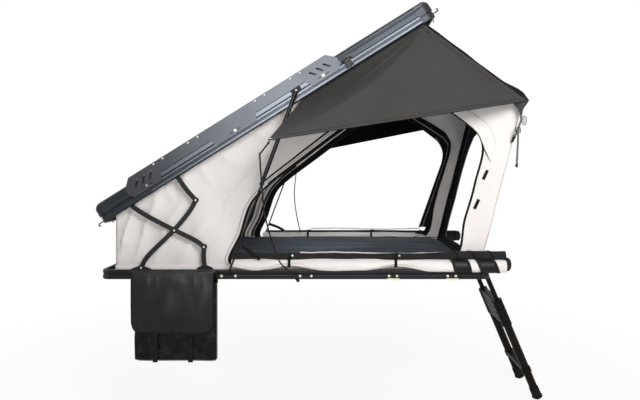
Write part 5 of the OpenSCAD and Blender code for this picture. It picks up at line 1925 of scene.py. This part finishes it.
@dataclass
class Studio:
    """Camera at the photo's angle, soft light and a pale floor.

    Args:
        eye: Place of the camera.
        lens: Focal length on a 36 mm sensor.
        shift: Shift of the picture in widths.
        floor: Height of the floor.
        fade: Distance at which the floor has turned white.
        bare: Share of plain paper in the middle, which keeps the shadow.
        aim: Point that the lamps face.
        lamps: The lamps.
    """

    eye: tuple[float, float, float] = (231.0, -3720.0, 613.0)
    lens: float = 31.62
    shift: tuple[float, float] = (-0.0286, -0.0525)
    floor: float = -846.0
    fade: float = 3200.0
    bare: float = 0.16
    aim: tuple[float, float, float] = (100.0, 0.0, 500.0)
    lamps: tuple[Lamp, ...] = (
        Lamp("key", (1350, -3600, 2100), 1300, 92.0),
        Lamp("fill", (-3200, -1900, 2400), 1800, 5.0),
        Lamp("front", (700, -4900, 430), 1200, 34.0),
        Lamp("back", (-400, 3200, 3000), 3000, 50.0),
        Lamp("inside", (250, -250, 520), 500, 2.2),
        Lamp("sheen", (-380, -3720, 1390), 1500, 96.0, gloss_only=True),
        Lamp("top_sheen", (-250, -2000, 4200), 1600, 170.0, gloss_only=True))

    def build(self) -> None:
        """Make camera, lamps, world and floor."""
        scene = bpy.context.scene
        scene.view_settings.view_transform = "Standard"
        lens = bpy.data.cameras.new("camera")
        lens.lens, lens.sensor_width = self.lens, 36.0
        lens.shift_x, lens.shift_y = self.shift
        lens.clip_end = 100.0
        camera = bpy.data.objects.new("camera", lens)
        camera.location = Vector(self.eye) * MM
        camera.rotation_euler = (math.pi / 2, 0.0, 0.0)
        scene.collection.objects.link(camera)
        scene.camera = camera
        for lamp in self.lamps:
            lamp.build(Vector(self.aim))
        self.surround(scene)
        self.ground()

    def seen(self, tree: bpy.types.NodeTree) -> bpy.types.NodeSocket:
        """Tell rays from the camera, off a gloss or through a clear piece from the others.

        Args:
            tree: Tree that gets the nodes.

        Returns:
            Output that is 1 for those rays.
        """
        path = add(tree, "ShaderNodeLightPath")
        total = path.outputs["Is Camera Ray"]
        for name in ("Is Glossy Ray", "Is Transmission Ray"):
            total = add(tree, "ShaderNodeMath", {0: total, 1: path.outputs[name]}, operation="MAXIMUM").outputs["Value"]
        return total

    def surround(self, scene: bpy.types.Scene) -> None:
        """Make a world that is white for the camera and softer as light.

        Args:
            scene: Scene that gets it.
        """
        world = bpy.data.worlds.new("soft_white")
        scene.world = world
        world.use_nodes = True
        tree = world.node_tree
        tree.nodes.clear()
        soft = add(tree, "ShaderNodeBackground", {"Color": (1, 1, 1, 1), "Strength": 0.22})
        white = add(tree, "ShaderNodeBackground", {"Color": (1, 1, 1, 1), "Strength": 1.0})
        both = add(tree, "ShaderNodeMixShader", {0: self.seen(tree), 1: soft.outputs[0], 2: white.outputs[0]})
        add(tree, "ShaderNodeOutputWorld", {"Surface": both.outputs[0]})

    def ground(self) -> None:
        """Make a pale floor that shows white and keeps a faint shadow."""
        mesh = bpy.data.meshes.new("floor")
        half = 40.0
        z = self.floor * MM
        mesh.from_pydata([(-half, -half, z), (half, -half, z), (half, half, z), (-half, half, z)], [], [(0, 1, 2, 3)])
        floor = bpy.data.objects.new("floor", mesh)
        bpy.context.scene.collection.objects.link(floor)
        paper = bpy.data.materials.new("paper_white")
        paper.use_nodes = True
        tree = paper.node_tree
        tree.nodes.clear()
        matt = add(tree, "ShaderNodeBsdfDiffuse", {"Color": linear("#ffffff")})
        glow = add(tree, "ShaderNodeEmission", {"Color": (1, 1, 1, 1), "Strength": 1.0})
        where = add(tree, "ShaderNodeMapping", {
            "Vector": add(tree, "ShaderNodeTexCoord").outputs["Object"],
            "Location": (0, 0, -z / self.fade / MM), "Scale": (1 / self.fade / MM,) * 3})
        near = add(tree, "ShaderNodeTexGradient", {"Vector": where.outputs["Vector"]}, gradient_type="SPHERICAL")
        bare = add(tree, "ShaderNodeMath", {0: near.outputs["Fac"], 1: -self.bare, 2: 1.0}, operation="MULTIPLY_ADD")
        share = add(tree, "ShaderNodeMath", {0: self.seen(tree), 1: bare.outputs["Value"]}, operation="MULTIPLY")
        both = add(tree, "ShaderNodeMixShader", {0: share.outputs["Value"], 1: matt.outputs[0], 2: glow.outputs[0]})
        add(tree, "ShaderNodeOutputMaterial", {"Surface": both.outputs[0]})
        mesh.materials.append(paper)


def note_sizes() -> None:
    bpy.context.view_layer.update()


def main() -> None:
    """Build the scene part by part and report each piece."""
    logging.basicConfig(level=logging.INFO)
    parts = (Studio(), BaseTray(), LidShell(), LiftLinkage(), GasStruts(), SideWall(Side.NEAR), SideWall(Side.FAR),
             EndWalls(), Mattress(), DoorRolls(Side.NEAR, (16.0, 25.0), (-37.0, 545.0)),
             DoorRolls(Side.FAR, (8.0, 9.0), (-4.0, 484.0)), Awning(Side.NEAR), Awning(Side.FAR), FrontFly(),
             Poles(), ShoeBag(), TelescopicLadder())
    for part in parts:
        known = set(bpy.data.objects.keys())
        part.build()
        for name in sorted(set(bpy.data.objects.keys()) - known):
            LOG.info("%s made %s", type(part).__name__, name)
    note_sizes()


if __name__ == "__main__":
    main()
